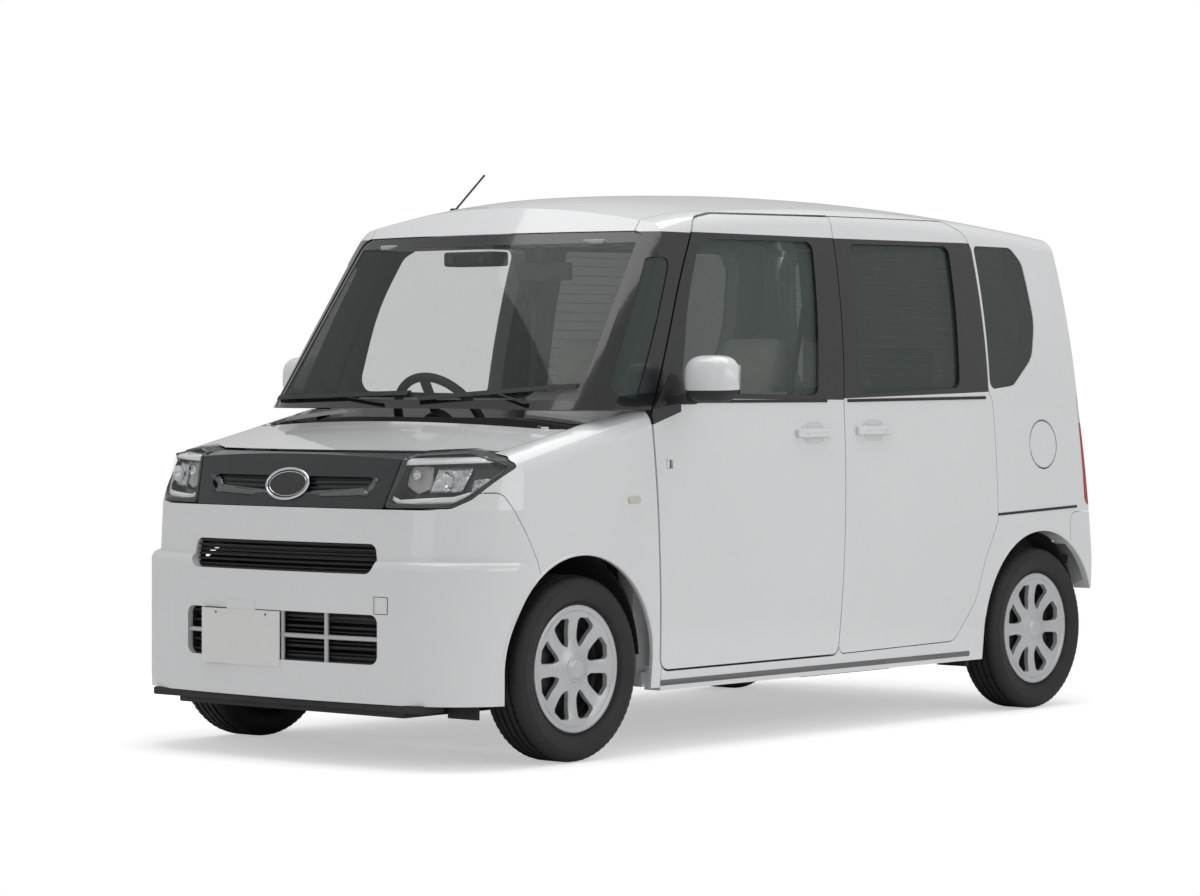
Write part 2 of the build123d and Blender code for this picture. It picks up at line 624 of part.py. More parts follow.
def make_front_fenders():
    wing = layer("front", 0, PANEL, block(740, 1800, 380, 800, 200, 1200))
    wing -= block(700, SCREEN_BASE_X, 380, 800, BELT_Z + 0, 1300) & screen_body(-BONNET_EDGE)
    wing -= plan_prism(grow(BONNET_PLAN, SHUT_GAP), 860, 1300) + well(FRONT_AXLE_X, ARCH_RADIUS, 1)
    wing -= front_prism(grow(LAMP, SEAM), 1400, 1800) + side_prism(grow(BUMPER_ZONE, SEAM), 1)
    wing -= front_prism(grow(GRILLE, SEAM), 1400, 1800)
    wing -= side_prism([(x + HINGE_GAP, z, r) for x, z, r in FRONT_DOOR], 1)
    wing -= block(1560, 1800, 380, 800, 200, 1200)
    return both(wing)


def make_front_bumper():
    zone = side_prism(BUMPER_ZONE, 1, 0, 800) - well(FRONT_AXLE_X, ARCH_RADIUS, 1, -10)
    zone -= front_prism(UPPER_INTAKE, 1500, 1900) + front_prism(LOWER_INTAKE, 1500, 1900)
    zone -= front_prism(grow(LAMP, SEAM), 1400, 1900)
    left = layer("front", 0, 20, zone & block(1200, 1900, -5, 810, SILL_Z, 900))
    cover = left + mirror(left, about=Plane.XZ)
    y, z = PLATE
    cover += block(1672, NOSE_X - 2.4, y - 60, y + 60, z - 85, z + 110) - hull("front", 20)
    return [cover]


def make_lower_grille():
    """Dark slats behind the bumper's two openings."""
    pieces = []
    for shape in (UPPER_INTAKE, LOWER_INTAKE):
        zone = front_prism(grow(shape, 14), 1500, 1800)
        frame = layer("front", 20 + SEAT_GAP, 40, zone) - front_prism(grow(shape, -4), 1500, 1800)
        z_low, z_high = min(p[1] for p in shape), max(p[1] for p in shape)
        slats = 5
        for i in range(slats):
            z = z_low + (i + 0.5) * (z_high - z_low) / slats
            frame += layer("front", 24, 38, block(1500, 1800, -394, 394, z - 3, z + 3))
        pieces.append(frame)
    return pieces


def make_front_grille():
    plate = layer("front", 4, 30, front_prism(GRILLE, 1450, 1800))
    for side in (1, -1):
        plate -= front_prism(GRILLE_SLOTS, 1600, 1800, side) & hull("front", 4) & (
            block(1400, 1800, -400, 400, 700, 950) - hull("front", 20))
        plate += block(1540 + SEAT_GAP, 1700, side * 360, side * 376, 822, 848) & hull("front", 20)
    return [plate]


def make_headlamps():
    """Lamp housings open to the front behind their covers."""
    bowl = layer("front", 5, 85, front_prism(LAMP, 1400, 1800))
    bowl -= layer("front", 0, 75, front_prism(grow(LAMP, -10), 1400, 1800))
    return both(bowl)


def make_headlamp_covers():
    return both(layer("front", 1, 5 - SEAT_GAP, front_prism(LAMP, 1400, 1800)))


def make_windscreen():
    return [layer("cabin", 3, 3 + GLASS, front_prism(grow(SCREEN, -SEAT_GAP), 500, 1300))]


def make_tailgate():
    gate = layer("cabin", 0, GATE_DEPTH, front_prism(GATE, TAIL_X - 60, GATE_HINGE[0])) - gate_ring(
        GATE_EDGE_RADIUS)
    gate -= front_prism(REAR_WINDOW, TAIL_X - 60, -1450)
    x, z = GATE_HINGE
    for side in (1, -1):
        y = side * GATE_HINGE_Y
        arm = rod(x, y, z, 10, 18, "Y") + block(x - 8, x + 8, y - 9, y + 9, z - GATE_DROP - 8, z)
        arm += block(x - 150, x + 8, y - 9, y + 9, z - GATE_DROP - 8, z - GATE_DROP + 8)
        gate += arm & hull("cabin", 10)
        gate += rod(x, y, z, 5, 34, "Y")
    return [gate]


def make_rear_window():
    return [layer("cabin", 3, 3 + GLASS, front_prism(grow(REAR_WINDOW, -SEAT_GAP), TAIL_X - 60, -1450))]


def make_tail_lamps():
    zone = side_prism(grow(TAIL_LAMP_ZONE, -SEAT_GAP), 1, near=GATE[4][0] + SHUT_GAP + 1)
    return both(layer("cabin", 0, ROOF_DEPTH, zone))


def make_rear_bumper():
    zone = side_prism(REAR_BUMPER_ZONE, 1, -800, 800)
    cover = layer("cabin", 0, 22, zone)
    for side in (1, -1):
        cover -= well(REAR_AXLE_X, ARCH_RADIUS, side, 660)
        cover -= well(REAR_AXLE_X, ARCH_RADIUS + 4 + LINER + SEAT_GAP, side, 552 - SEAT_GAP) & block(
            -1800, -1000, -652, 652, 0, 900)
    cover -= front_prism(grow(GATE, SHUT_GAP), TAIL_X - 60, -1450)
    cover &= block(-1800, REAR_AXLE_X, -800, 800, 230, 700)
    return [cover]


def make_fuel_lid():
    """Round filler lid with a hinge knuckle and pin at its front edge."""
    x, z = FUEL_LID
    disc = layer("side", 0, SKIN, rod(x, HALF, z, FUEL_LID_RADIUS, 120, "Y"))
    x, y = FUEL_HINGE
    for up in (1, -1):
        disc -= block(x - 6.5, x + 20, 650, HALF, z + up * 12, z + up * 23)
    return [disc + rod(x, y, z, 4, 24) + rod(x, y, z, 2, 44)]


def make_floor_pan():
    """Pressed floor with the step up over the rear axle."""
    edges = [
        (FIREWALL_X, FLOOR_Z, 5), (FIREWALL_X, FLOOR_Z + FLOOR_DEPTH, 5), (-900, FLOOR_Z + FLOOR_DEPTH, 60),
        (-940, REAR_FLOOR_Z, 60), (-1625, REAR_FLOOR_Z, 5), (-1625, REAR_FLOOR_Z - 30, 5),
        (-970, REAR_FLOOR_Z - 30, 60),
        (-930, FLOOR_Z, 60),
    ]
    pan = side_prism(edges, 1, -FLOOR_HALF, FLOOR_HALF)
    for side in (1, -1):
        pan -= well(REAR_AXLE_X, WELL_RADIUS + LINER + SEAT_GAP, side, 552 - SEAT_GAP)
        pan -= well(FRONT_AXLE_X, WELL_RADIUS + LINER + SEAT_GAP, side, WELL_WALL_Y - LINER - SEAT_GAP)
        pan -= block(-1700, 1100, side * (SILL_INNER_Y - SEAT_GAP), side * 700, 0, 400)
    return [pan]


def make_wheelhouses(x, near, radius, z_low):
    """Arched liners over two wheels, with a hole where a strut passes."""
    shell = rod(x, (near + 650) / 2, TYRE_RADIUS, radius + LINER, 650 - near, "Y")
    shell -= rod(x, (near + 650) / 2 + LINER, TYRE_RADIUS, radius, 650 - near, "Y")
    shell -= swivel_rod(500, 720, 52)
    return shell - block(x - 500, x + 500, 0, 800, -200, z_low)


def make_firewall():
    """Bulkhead and cowl between the engine bay and the cabin."""
    wall = block(FIREWALL_X, FIREWALL_X + FIREWALL_DEPTH, -636, 636, FLOOR_Z, 960)
    cowl = block(FIREWALL_X, SCREEN_BASE_X - 30, -630, 630, 900, 925) + block(
        FIREWALL_X, FIREWALL_X + 25, -630, 630, 925, 1020)
    cowl &= screen_body(2)
    wall += cowl & hull("front", 25)
    x, z = BONNET_HINGE
    wall -= rod(x, 0, z, BONNET_SWEEP, WIDTH, "Y")
    for side in (1, -1):
        wall -= well(FRONT_AXLE_X, WELL_RADIUS + 9, side, WELL_WALL_Y - 8)
        inner, outer = side * (BONNET_HINGE_Y - 20), side * (BONNET_HINGE_Y - 9)
        wall += block(x - 10, x + 10, inner, outer, 902, z - 10) + block(x - 6, x + 6, inner, outer, z - 12, z)
        wall += rod(x, (inner + outer) / 2, z, 8, 11, "Y")
        wall -= rod(x, side * BONNET_HINGE_Y, z, 4 + PIN_PLAY, 60, "Y")
    return [wall]


def make_front_frame():
    """Side rails, radiator support and the beam behind the bumper."""
    parts = Part()
    for side in (1, -1):
        parts += block(FIREWALL_X + FIREWALL_DEPTH + SEAT_GAP, 1600, side * 330, side * 380, 400, 480)
        parts += block(1520, 1540, side * 330, side * 380, 280, 850)
        parts += block(1120, 1160, side * 301, side * 340, GROUND_CLEARANCE, 440)
        parts += block(1580, 1700, side * 330, side * 380, 480, 520) & hull("front", 20 + SEAT_GAP)
    parts += block(1585, 1625, -480, 480, 420, 480)
    parts += block(1520, 1540, -380, 380, 820, 850)
    parts += block(1520, 1540, -380, 380, 280, 320)
    parts += block(1110, 1170, -301, 301, GROUND_CLEARANCE, GROUND_CLEARANCE + 32)
    parts += block(1170, 1230, -60, 60, GROUND_CLEARANCE + 4, GROUND_CLEARANCE + 28) + block(
        1190, 1230, -60, 60, GROUND_CLEARANCE + 20, 260 - SEAT_GAP)
    return [parts]


def make_engine_block():
    return [block(1180, 1500, -299, 260, 260, 700)]


def make_fuel_tank():
    return [block(-850, -350, -200, 420, 150, FLOOR_Z - SEAT_GAP)]


def make_exhaust():
    y, z = -250, GROUND_CLEARANCE + 25
    front, rear = 1070, -1500
    pipe = rod((front + rear) / 2, y, z, 22, front - rear, "X") + rod(front, y, 240, 22, 130)
    pipe += block(front, 1180 - SEAT_GAP, y - 15, y + 15, 280, 305)
    pipe += rod(rear, y, z + 87, 70, 420, "Y") + block(
        rear - 4, rear + 4, y - 20, y + 20, z + 150, REAR_FLOOR_Z - 30 - SEAT_GAP)
    return [pipe]


def make_rear_axle():
    beam = rod(-1190, 0, 262, 32, 1080, "Y")
    for side in (1, -1):
        beam += block(-1340, -960, side * 470, side * 510, 240, 290)
        beam += rod(REAR_AXLE_X, side * (WHEEL_Y - 76), TYRE_RADIUS, 45, 130, "Y") + block(
            REAR_AXLE_X - 40, REAR_AXLE_X + 40, side * 500, side * 560, 240, 320)
        beam += rod(REAR_AXLE_X, side * (WHEEL_Y - 6), TYRE_RADIUS, SPINDLE, 60, "Y")
        beam += rod(-1270, side * 490, 385, 40, 210)
    return [beam]


# Steering swivel: lower ball joint and the direction of the axis up to the strut
SWIVEL = (FRONT_AXLE_X, 600.0, 168.0)
SWIVEL_LEAN = 0.2128
STRUT_RADIUS = 13.0
BALL_PIN = 8.0
SPINDLE = 16.0
RUNNING_PLAY = 0.08

# Steering wheel: centre, tilt from upright and rim
STEERING_CENTRE = (575.0, -350.0, 985.0)
STEERING_TILT = 28.0
STEERING_RIM = 182.0
COLUMN_RADIUS = 18.0


def swivel_at(z):
    """A point on the left steering axis at one height."""
    return (SWIVEL[0], SWIVEL[1] - SWIVEL_LEAN * (z - SWIVEL[2]), z)


def swivel_rod(z0, z1, radius):
    """A round bar on the left steering axis between two heights."""
    low, high = Vector(*swivel_at(z0)), Vector(*swivel_at(z1))
    return extrude(Plane(origin=low, z_dir=high - low) * Circle(radius), (high - low).length)


def make_tyre(x, side):
    """Tyre with a rounded shoulder, open at the rim."""
    half, bead = TYRE_WIDTH / 2, 178.0
    edges = [
        (bead, -40, 3), (bead, -54, 3), (bead + 16, -55, 6), (bead + 34, -half + 6, 18), (bead + 62, -half, 40),
        (TYRE_RADIUS - 14, -half + 10, 22),
        (TYRE_RADIUS, -half + 24, 14), (TYRE_RADIUS, half - 24, 14), (TYRE_RADIUS - 14, half - 10, 22),
        (bead + 62, half, 40), (bead + 34, half - 6, 18), (bead + 16, 55, 6), (bead, 54, 3),
        (bead, 40, 3), (bead + 10, 30, 5), (bead + 10, -30, 5),
    ]
    face = outline(edges, Plane(origin=(0, 0, 0), x_dir=(0, 0, 1), z_dir=(-1, 0, 0)))
    return Pos(x, side * WHEEL_Y, TYRE_RADIUS) * revolve(face, Axis.Y, 360)


def make_rim(x, side):
    """Steel barrel with a spoked cover on its outer face and a bored hub."""
    barrel = Cylinder(178 - SEAT_GAP, 112) - Cylinder(166, RIM_WIDTH)
    barrel = Rot(90, 0, 0) * barrel
    disc = Pos(0, 18, 0) * Rot(90, 0, 0) * Cylinder(168, 6)
    hub = Pos(0, 8, 0) * Rot(90, 0, 0) * Cylinder(HUB_RADIUS, 34)
    cover = Pos(0, 59, 0) * Rot(90, 0, 0) * Cylinder(RIM_RADIUS, 6)
    window = outline(
        [(66, -13, 8), (66, 13, 8), (158, 36, 14), (158, -36, 14)],
        Plane(origin=(0, 45, 0), x_dir=(0, 0, 1), z_dir=(0, 1, 0)),
    )
    slot = extrude(window, 30, dir=(0, 1, 0))
    for i in range(SPOKES):
        cover -= Rot(0, 360 / SPOKES * i, 0) * slot
    join = Pos(0, 38, 0) * Rot(90, 0, 0) * Cylinder(58, 42)
    wheel = barrel + disc + hub + cover + join
    wheel -= Pos(0, -6, 0) * Rot(90, 0, 0) * Cylinder(SPINDLE + RUNNING_PLAY, 60)
    if side < 0:
        wheel = mirror(wheel, about=Plane.XZ)
    return Pos(x, side * WHEEL_Y, TYRE_RADIUS) * wheel


def make_knuckle():
    """Left upright: hub plate and spindle, ball-joint eye below and strut clamp above."""
    x, _, z = FRONT_AXLE_X, 0, TYRE_RADIUS
    part = rod(x, 592, z, 62, 16, "Y") + rod(x, WHEEL_Y - 14, z, SPINDLE, 70, "Y")
    part += block(x - 22, x + 22, 584, 616, SWIVEL[2] + 6, z)
    part += block(x - 24, x + 24, 536, 560, z - 30, 480) + block(x - 24, x + 24, 540, 596, z - 30, z + 30)
    part += swivel_rod(430, 482, 22)
    part -= swivel_rod(SWIVEL[2] - 30, SWIVEL[2] + 40, BALL_PIN + PIN_PLAY)
    part -= swivel_rod(400, 500, STRUT_RADIUS + PIN_PLAY)
    return part


def make_front_suspension():
    """Lower arms with their ball pins, struts and springs, each side one piece."""
    x = FRONT_AXLE_X
    arm = block(x - 22, x + 22, 340 + SEAT_GAP, SWIVEL[1] + 14, SWIVEL[2] - 18, SWIVEL[2] - 2)
    arm += swivel_rod(SWIVEL[2] - 10, SWIVEL[2] + 34, BALL_PIN)
    strut = swivel_rod(415, 840, STRUT_RADIUS) + swivel_rod(600, 780, 42)
    tower = block(x - 90, x + 90, 330, 545, 838, 850) + block(x - 90, x + 90, 330, 345, 480 + SEAT_GAP, 850)
    return both(arm) + both(strut + tower)


def make_dashboard():
    edges = [
        (FIREWALL_X - SEAT_GAP, 1000, 10), (700, 1000, 60), (640, 950, 50), (660, 760, 60), (800, 640, 60),
        (FIREWALL_X - SEAT_GAP, 640, 10),
    ]
    dash = side_prism(edges, 1, -632, 632)
    for side in (1, -1):
        dash -= block(HINGE_X - 17, 801, side * (SILL_INNER_Y - SEAT_GAP), side * 700, 500, 1100)
    dash -= Pos(*STEERING_CENTRE) * Rot(0, -90 + STEERING_TILT, 0) * Pos(0, 0, -150) * Cylinder(
        COLUMN_RADIUS + PIN_PLAY, 240)
    return [dash]


def make_steering_wheel():
    """Rim, two-spoke boss and column, turning in the dashboard."""
    part = Torus(STEERING_RIM, 15) + Pos(0, 0, -12) * Cylinder(62, 34)
    part += Pos(0, 0, -6) * Box(2 * STEERING_RIM, 34, 12) + Pos(0, -STEERING_RIM / 2, -6) * Box(
        34, STEERING_RIM, 12)
    part += Pos(0, 0, -95) * Cylinder(COLUMN_RADIUS, 170)
    return Pos(*STEERING_CENTRE) * Rot(0, -90 + STEERING_TILT, 0) * part


SEAT_LEAN = 14.0


def make_seat(x, y, width, back_height, cushion_top, cushion_long):
    """One seat: a cushion, and a reclined back with its headrest on two posts."""
    cushion = block(x, x + cushion_long, y - width / 2, y + width / 2, cushion_top - 130, cushion_top)
    cushion = fillet(cushion.edges(), 35)
    back = block(-60, 60, -width / 2 + 10, width / 2 - 10, 0, back_height)
    back = fillet(back.edges(), 35)
    head = block(-45, 45, -125, 125, back_height + 12, back_height + 190)
    back += fillet(head.edges(), 35)
    for post in (-60, 60):
        back += rod(0, post, back_height, 7, 60)
    back = Pos(x + 16.8, y, cushion_top - 90) * Rot(0, -SEAT_LEAN, 0) * Pos(-70, 0, 0) * back
    return cushion, back


def make_front_seats():
    return [s for y in (350, -350) for s in make_seat(40, y, 510, 580, 640, 480)]


def make_rear_seat():
    return [s for y in (300, -300) for s in make_seat(-880, y, 560, 560, 640, 470)]


def make_seat_frames():
    """Plinths and rails that carry the seats."""
    return [
        block(-40, 470, y - 190, y + 190, FLOOR_Z + FLOOR_DEPTH, 510 - SEAT_GAP) for y in (350, -350)
    ] + [block(-880, -450, -540, 540, FLOOR_Z + FLOOR_DEPTH, 510 - SEAT_GAP) & block(
        -830, -450, -560, 560, 0, 600)]


def make_mirror():
    """Left door mirror: shell on a short arm from the door's front corner."""
    shell = block(616, 740, 775, 940, 1075, 1205)
    shell = fillet(shell.edges(), 28)
    return shell + (block(660, 730, 690, 790, 1062, 1090) - hull("side", -SEAT_GAP))


def make_b_pillar():
    return [layer("side", WALL + 4, WALL + 44, side_prism(
        [(-130, SILL_TOP_Z + SEAT_GAP, 1), (-180, 1076, 1), (-205, RAIL_BOTTOM_Z - SEAT_GAP, 1),
         (-265, RAIL_BOTTOM_Z - SEAT_GAP, 1), (-240, 1076, 1), (-230, SILL_TOP_Z + SEAT_GAP, 1)], -1))]


def make_wipers():
    """Two blades lying on the windscreen, each with its arm."""
    skin = screen_body(-8) - screen_body(3 - SEAT_GAP)
    strips = []
    for pivot, low, high in WIPERS:
        blade = front_prism([low, (low[0], low[1] + 14, 3), (high[0], high[1] + 14, 3), high], 900, 1300)
        arm = front_prism([
            pivot, (pivot[0] + 16, pivot[1], 3), ((low[0] + high[0]) / 2 + 16, (low[1] + high[1]) / 2 + 8, 3),
                           ((low[0] + high[0]) / 2, (low[1] + high[1]) / 2 + 8, 3)], 900, 1300)
        strips.append((blade + arm) & skin)
    return strips


def make_antenna():
    """Short rod leaning back from a foot on the front of the roof."""
    x, y, z = ANTENNA
    foot = Pos(x, y, z) * Cone(24, 12, 30) - hull("side", -SEAT_GAP)
    tip = Vector(x - ANTENNA_LEAN[0], y, z + ANTENNA_LEAN[1])
    start = Vector(x, y, z + 6)
    return [foot + extrude(Plane(origin=start, z_dir=tip - start) * Circle(3.5), (tip - start).length)]


def make_number_plate():
    y, z = PLATE
    plate = block(NOSE_X - 2.1, NOSE_X, y - PLATE_SIZE[0] / 2, y + PLATE_SIZE[0] / 2, z - PLATE_SIZE[1] / 2,
                  z + PLATE_SIZE[1] / 2)
    for dy in (-PLATE_BOLTS / 2, PLATE_BOLTS / 2):
        plate -= rod(NOSE_X, y + dy, z + PLATE_SIZE[1] / 2 - 12, 4, 20, "X")
    return [plate]


def nodes():
    """Every piece of the car by its name."""
    door, window, mirror_left, knuckle = make_front_door(), make_front_window(), make_mirror(), make_knuckle()
    flip = Plane.XZ
    named = {
        "body_sides": make_body_sides(), "windscreen_pillars": make_windscreen_pillars(),
        "quarter_windows": make_quarter_windows(), "roof_panel": make_roof_panel(),
        "front_door_left": [door], "front_door_right": [mirror(door, about=flip)],
        "front_window_left": [window], "front_window_right": [mirror(window, about=flip)],
        "mirror_left": [mirror_left], "mirror_right": [mirror(mirror_left, about=flip)],
        "sliding_doors": make_sliding_doors(), "sliding_door_windows": make_sliding_door_windows(),
        "bonnet": make_bonnet(), "front_fenders": make_front_fenders(), "front_bumper": make_front_bumper(),
        "lower_grille": make_lower_grille(), "front_grille": make_front_grille(), "headlamps": make_headlamps(),
        "headlamp_covers": make_headlamp_covers(), "windscreen": make_windscreen(), "tailgate": make_tailgate(),
        "rear_window": make_rear_window(), "tail_lamps": make_tail_lamps(), "rear_bumper": make_rear_bumper(),
        "fuel_lid": make_fuel_lid(), "antenna": make_antenna(), "wipers": make_wipers(),
        "floor_pan": make_floor_pan(), "firewall": make_firewall(),
        "front_wheelhouses": both(make_wheelhouses(FRONT_AXLE_X, WELL_WALL_Y - LINER, WELL_RADIUS, 300)),
        "rear_wheelhouses": both(make_wheelhouses(REAR_AXLE_X, 552, ARCH_RADIUS + 4, 335)),
        "front_frame": make_front_frame(), "engine_block": make_engine_block(), "fuel_tank": make_fuel_tank(),
        "exhaust": make_exhaust(), "rear_axle": make_rear_axle(), "front_suspension": make_front_suspension(),
        "knuckle_left": [knuckle], "knuckle_right": [mirror(knuckle, about=flip)],
        "dashboard": make_dashboard(), "steering_wheel": [make_steering_wheel()],
        "front_seats": make_front_seats(), "rear_seat": make_rear_seat(), "seat_frames": make_seat_frames(),
        "b_pillar": make_b_pillar(), "number_plate": make_number_plate(),
    }
    for place, x in (("front", FRONT_AXLE_X), ("rear", REAR_AXLE_X)):
        for name, side in (("left", 1), ("right", -1)):
            named[f"tyre_{place}_{name}"] = [make_tyre(x, side)]
            named[f"rim_{place}_{name}"] = [make_rim(x, side)]
    return named


def main():
    for name, pieces in nodes().items():
        export_step(Compound(children=[s for piece in pieces for s in piece.solids()]), f"parts/{name}.step")


if __name__ == "__main__":
    main()
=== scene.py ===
import math

import bmesh
import bpy
from bpy.props import FloatProperty, FloatVectorProperty, IntProperty, PointerProperty
from mathutils import Matrix, Vector
from mathutils.bvhtree import BVHTree


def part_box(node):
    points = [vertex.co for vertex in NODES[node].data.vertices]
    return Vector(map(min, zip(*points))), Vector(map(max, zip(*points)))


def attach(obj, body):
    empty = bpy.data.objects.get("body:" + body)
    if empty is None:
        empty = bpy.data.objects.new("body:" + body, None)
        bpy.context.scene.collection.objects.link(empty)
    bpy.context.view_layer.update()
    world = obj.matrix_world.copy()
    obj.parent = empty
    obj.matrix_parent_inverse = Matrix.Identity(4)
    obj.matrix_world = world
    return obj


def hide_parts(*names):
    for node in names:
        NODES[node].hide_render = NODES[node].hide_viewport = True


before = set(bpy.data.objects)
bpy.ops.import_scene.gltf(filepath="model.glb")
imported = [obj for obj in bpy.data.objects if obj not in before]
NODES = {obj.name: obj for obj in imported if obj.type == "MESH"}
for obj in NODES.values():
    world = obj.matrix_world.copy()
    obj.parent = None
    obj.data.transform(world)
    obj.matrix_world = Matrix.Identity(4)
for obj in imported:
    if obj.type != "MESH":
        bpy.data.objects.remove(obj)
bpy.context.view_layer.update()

bl_info = {
    "name": "Tall Wagon Dresser",
    "version": (1, 0, 0),
    "blender": (4, 5, 0),
    "location": "View3D > Sidebar > Tall Wagon",
    "description": "Paints and dresses the packed frame of a very small tall wagon",
    "category": "Object",
}

MM = 0.001
SIDES = ((1, "left"), (-1, "right"))
WHEELS = ("front_left", "front_right", "rear_left", "rear_right")
FRONT_AXLE, REAR_AXLE, WHEEL_HEIGHT = 1.1415, -1.3185, 0.2785
ARCH_RADIUS = 0.3425
CAMERA_SPOT = (9.6104, 7.9008, 1.1288)
CAMERA_YAW, CAMERA_PITCH, CAMERA_ROLL = -140.0064, -0.7662, 0.0674
COLOUR = dict(subtype="COLOR", size=3, min=0, max=1)
LENGTH = dict(subtype="DISTANCE", unit="LENGTH")


# Settings a user would change

class WagonColours(bpy.types.PropertyGroup):
    """Colours of the wagon's finishes."""

    paint: FloatVectorProperty(
        name="Paint", description="Body paint", default=(0.80, 0.81, 0.815), **COLOUR)
    trim: FloatVectorProperty(
        name="Gloss trim", description="Black of the pillars and door frames", default=(0.012, 0.013, 0.014),
        **COLOUR)
    grille: FloatVectorProperty(
        name="Grille", description="Dark metallic of the grille panel", default=(0.062, 0.070, 0.070), **COLOUR)
    wheel: FloatVectorProperty(
        name="Wheel covers", description="Silver of the wheel covers", default=(0.56, 0.57, 0.575), **COLOUR)
    fabric: FloatVectorProperty(
        name="Seats", description="Seat cloth", default=(0.50, 0.49, 0.46), **COLOUR)
    privacy: FloatVectorProperty(
        name="Privacy glass", description="Tint of the rear panes", default=(0.030, 0.048, 0.042), **COLOUR)


class WagonSizes(bpy.types.PropertyGroup):
    """Sizes of the dressing that the frame doesn't carry."""

    groove: FloatProperty(
        name="Tread groove", description="Depth of the tyre's grooves", default=0.006, min=0.001, max=0.01,
        **LENGTH)
    spokes: IntProperty(name="Spokes", description="Spokes of a wheel cover", default=8, min=5, max=12)
    cap: FloatProperty(
        name="Centre cap", description="Radius of the bare round cap", default=0.031, min=0.01, max=0.06,
        **LENGTH)
    puff: FloatProperty(
        name="Cushion swell", description="How far seat cloth may swell", default=0.016, min=0.0, max=0.03,
        **LENGTH)
    lens: FloatProperty(
        name="Lens", description="Focal length of the camera in millimetres", default=112.38, min=20)


# Materials

def graph(name):
    """An empty node material and its tree."""
    material = bpy.data.materials.new(name)
    material.use_nodes = True
    tree = material.node_tree
    tree.nodes.clear()
    return material, tree


def put(tree, kind, **values):
    """Adds a node and sets its properties or unlinked sockets."""
    node = tree.nodes.new(kind)
    for key, value in values.items():
        if hasattr(node, key):
            setattr(node, key, value)
        else:
            node.inputs[key.replace("_", " ")].default_value = value
    return node


def socketed(tree, kind, operation, a, b=None):
    """A maths node fed by sockets or numbers."""
    node = tree.nodes.new(kind)
    node.operation = operation
    for socket, value in zip(node.inputs, (a, b)):
        if value is None:
            continue
        if isinstance(value, bpy.types.NodeSocket):
            tree.links.new(value, socket)
        else:
            socket.default_value = value
    return node


def maths(tree, operation, a, b=None):
    return socketed(tree, "ShaderNodeMath", operation, a, b).outputs[0]


def coat_of(tree, colour, rough, metallic=0.0, coat=0.0, vary=0.06, grain=900.0, bump=0.02, patch=6.0,
            sheen=0.0, alpha=1.0, specular=0.5, depth=0.0005):
    """A principled shader whose colour, roughness and surface carry fine variation."""
    join = tree.links.new
    place = put(tree, "ShaderNodeTexCoord").outputs["Object"]
    broad = put(tree, "ShaderNodeTexNoise", Scale=patch, Detail=4.0)
    fine = put(tree, "ShaderNodeTexNoise", Scale=grain, Detail=2.0)
    join(place, broad.inputs["Vector"])
    join(place, fine.inputs["Vector"])
    ramp = put(tree, "ShaderNodeValToRGB")
    ramp.color_ramp.elements[0].position = 0.3
    ramp.color_ramp.elements[1].position = 0.7
    ramp.color_ramp.elements[0].color = (*[c * (1 - vary) for c in colour], 1)
    ramp.color_ramp.elements[1].color = (*[min(c * (1 + vary), 1) for c in colour], 1)
    join(broad.outputs["Fac"], ramp.inputs["Fac"])
    shader = put(tree, "ShaderNodeBsdfPrincipled", Metallic=metallic, Coat_Weight=coat, Coat_Roughness=0.03,
                 Sheen_Weight=sheen, Alpha=alpha, Specular_IOR_Level=specular)
    join(ramp.outputs["Color"], shader.inputs["Base Color"])
    spread = put(tree, "ShaderNodeMapRange", To_Min=max(rough * 0.85, 0.01), To_Max=min(rough * 1.15, 1))
    join(fine.outputs["Fac"], spread.inputs["Value"])
    join(spread.outputs["Result"], shader.inputs["Roughness"])
    lift = put(tree, "ShaderNodeBump", Strength=bump, Distance=depth)
    join(fine.outputs["Fac"], lift.inputs["Height"])
    join(lift.outputs["Normal"], shader.inputs["Normal"])
    return shader


def finish_of(tree, shader):
    out = tree.nodes.new("ShaderNodeOutputMaterial")
    tree.links.new(shader, out.inputs["Surface"])


def inside(tree, corners, view):
    """1 inside a convex polygon seen from the side ('XZ') or the front ('YZ'), in metres."""
    place = put(tree, "ShaderNodeTexCoord").outputs["Object"]
    area = sum(
        corners[i - 1][0] * corners[i][1] - corners[i][0] * corners[i - 1][1] for i in range(len(corners)))
    turn = 1 if area > 0 else -1
    nearest = None
    for i in range(len(corners)):
        (u0, v0), (u1, v1) = corners[i - 1], corners[i]
        size = math.hypot(u1 - u0, v1 - v0)
        nu, nv = -turn * (v1 - v0) / size, turn * (u1 - u0) / size
        normal = (nu, 0, nv) if view == "XZ" else (0, nu, nv)
        dot = socketed(tree, "ShaderNodeVectorMath", "DOT_PRODUCT", place, normal).outputs["Value"]
        edge = maths(tree, "SUBTRACT", dot, nu * u0 + nv * v0)
        nearest = edge if nearest is None else maths(tree, "MINIMUM", nearest, edge)
    return maths(tree, "GREATER_THAN", nearest, 0.0)


def two_tone(name, base, other, zones, view="XZ"):
    """A finish with another one inside some zones."""
    material, tree = graph(name)
    mask = None
    for zone in zones:
        part = inside(tree, zone, view)
        mask = part if mask is None else maths(tree, "MAXIMUM", mask, part)
    mix = tree.nodes.new("ShaderNodeMixShader")
    tree.links.new(mask, mix.inputs[0])
    tree.links.new(coat_of(tree, **base).outputs[0], mix.inputs[1])
    tree.links.new(coat_of(tree, **other).outputs[0], mix.inputs[2])
    finish_of(tree, mix.outputs[0])
    return material


def plain(name, **looks):
    material, tree = graph(name)
    finish_of(tree, coat_of(tree, **looks).outputs[0])
    return material


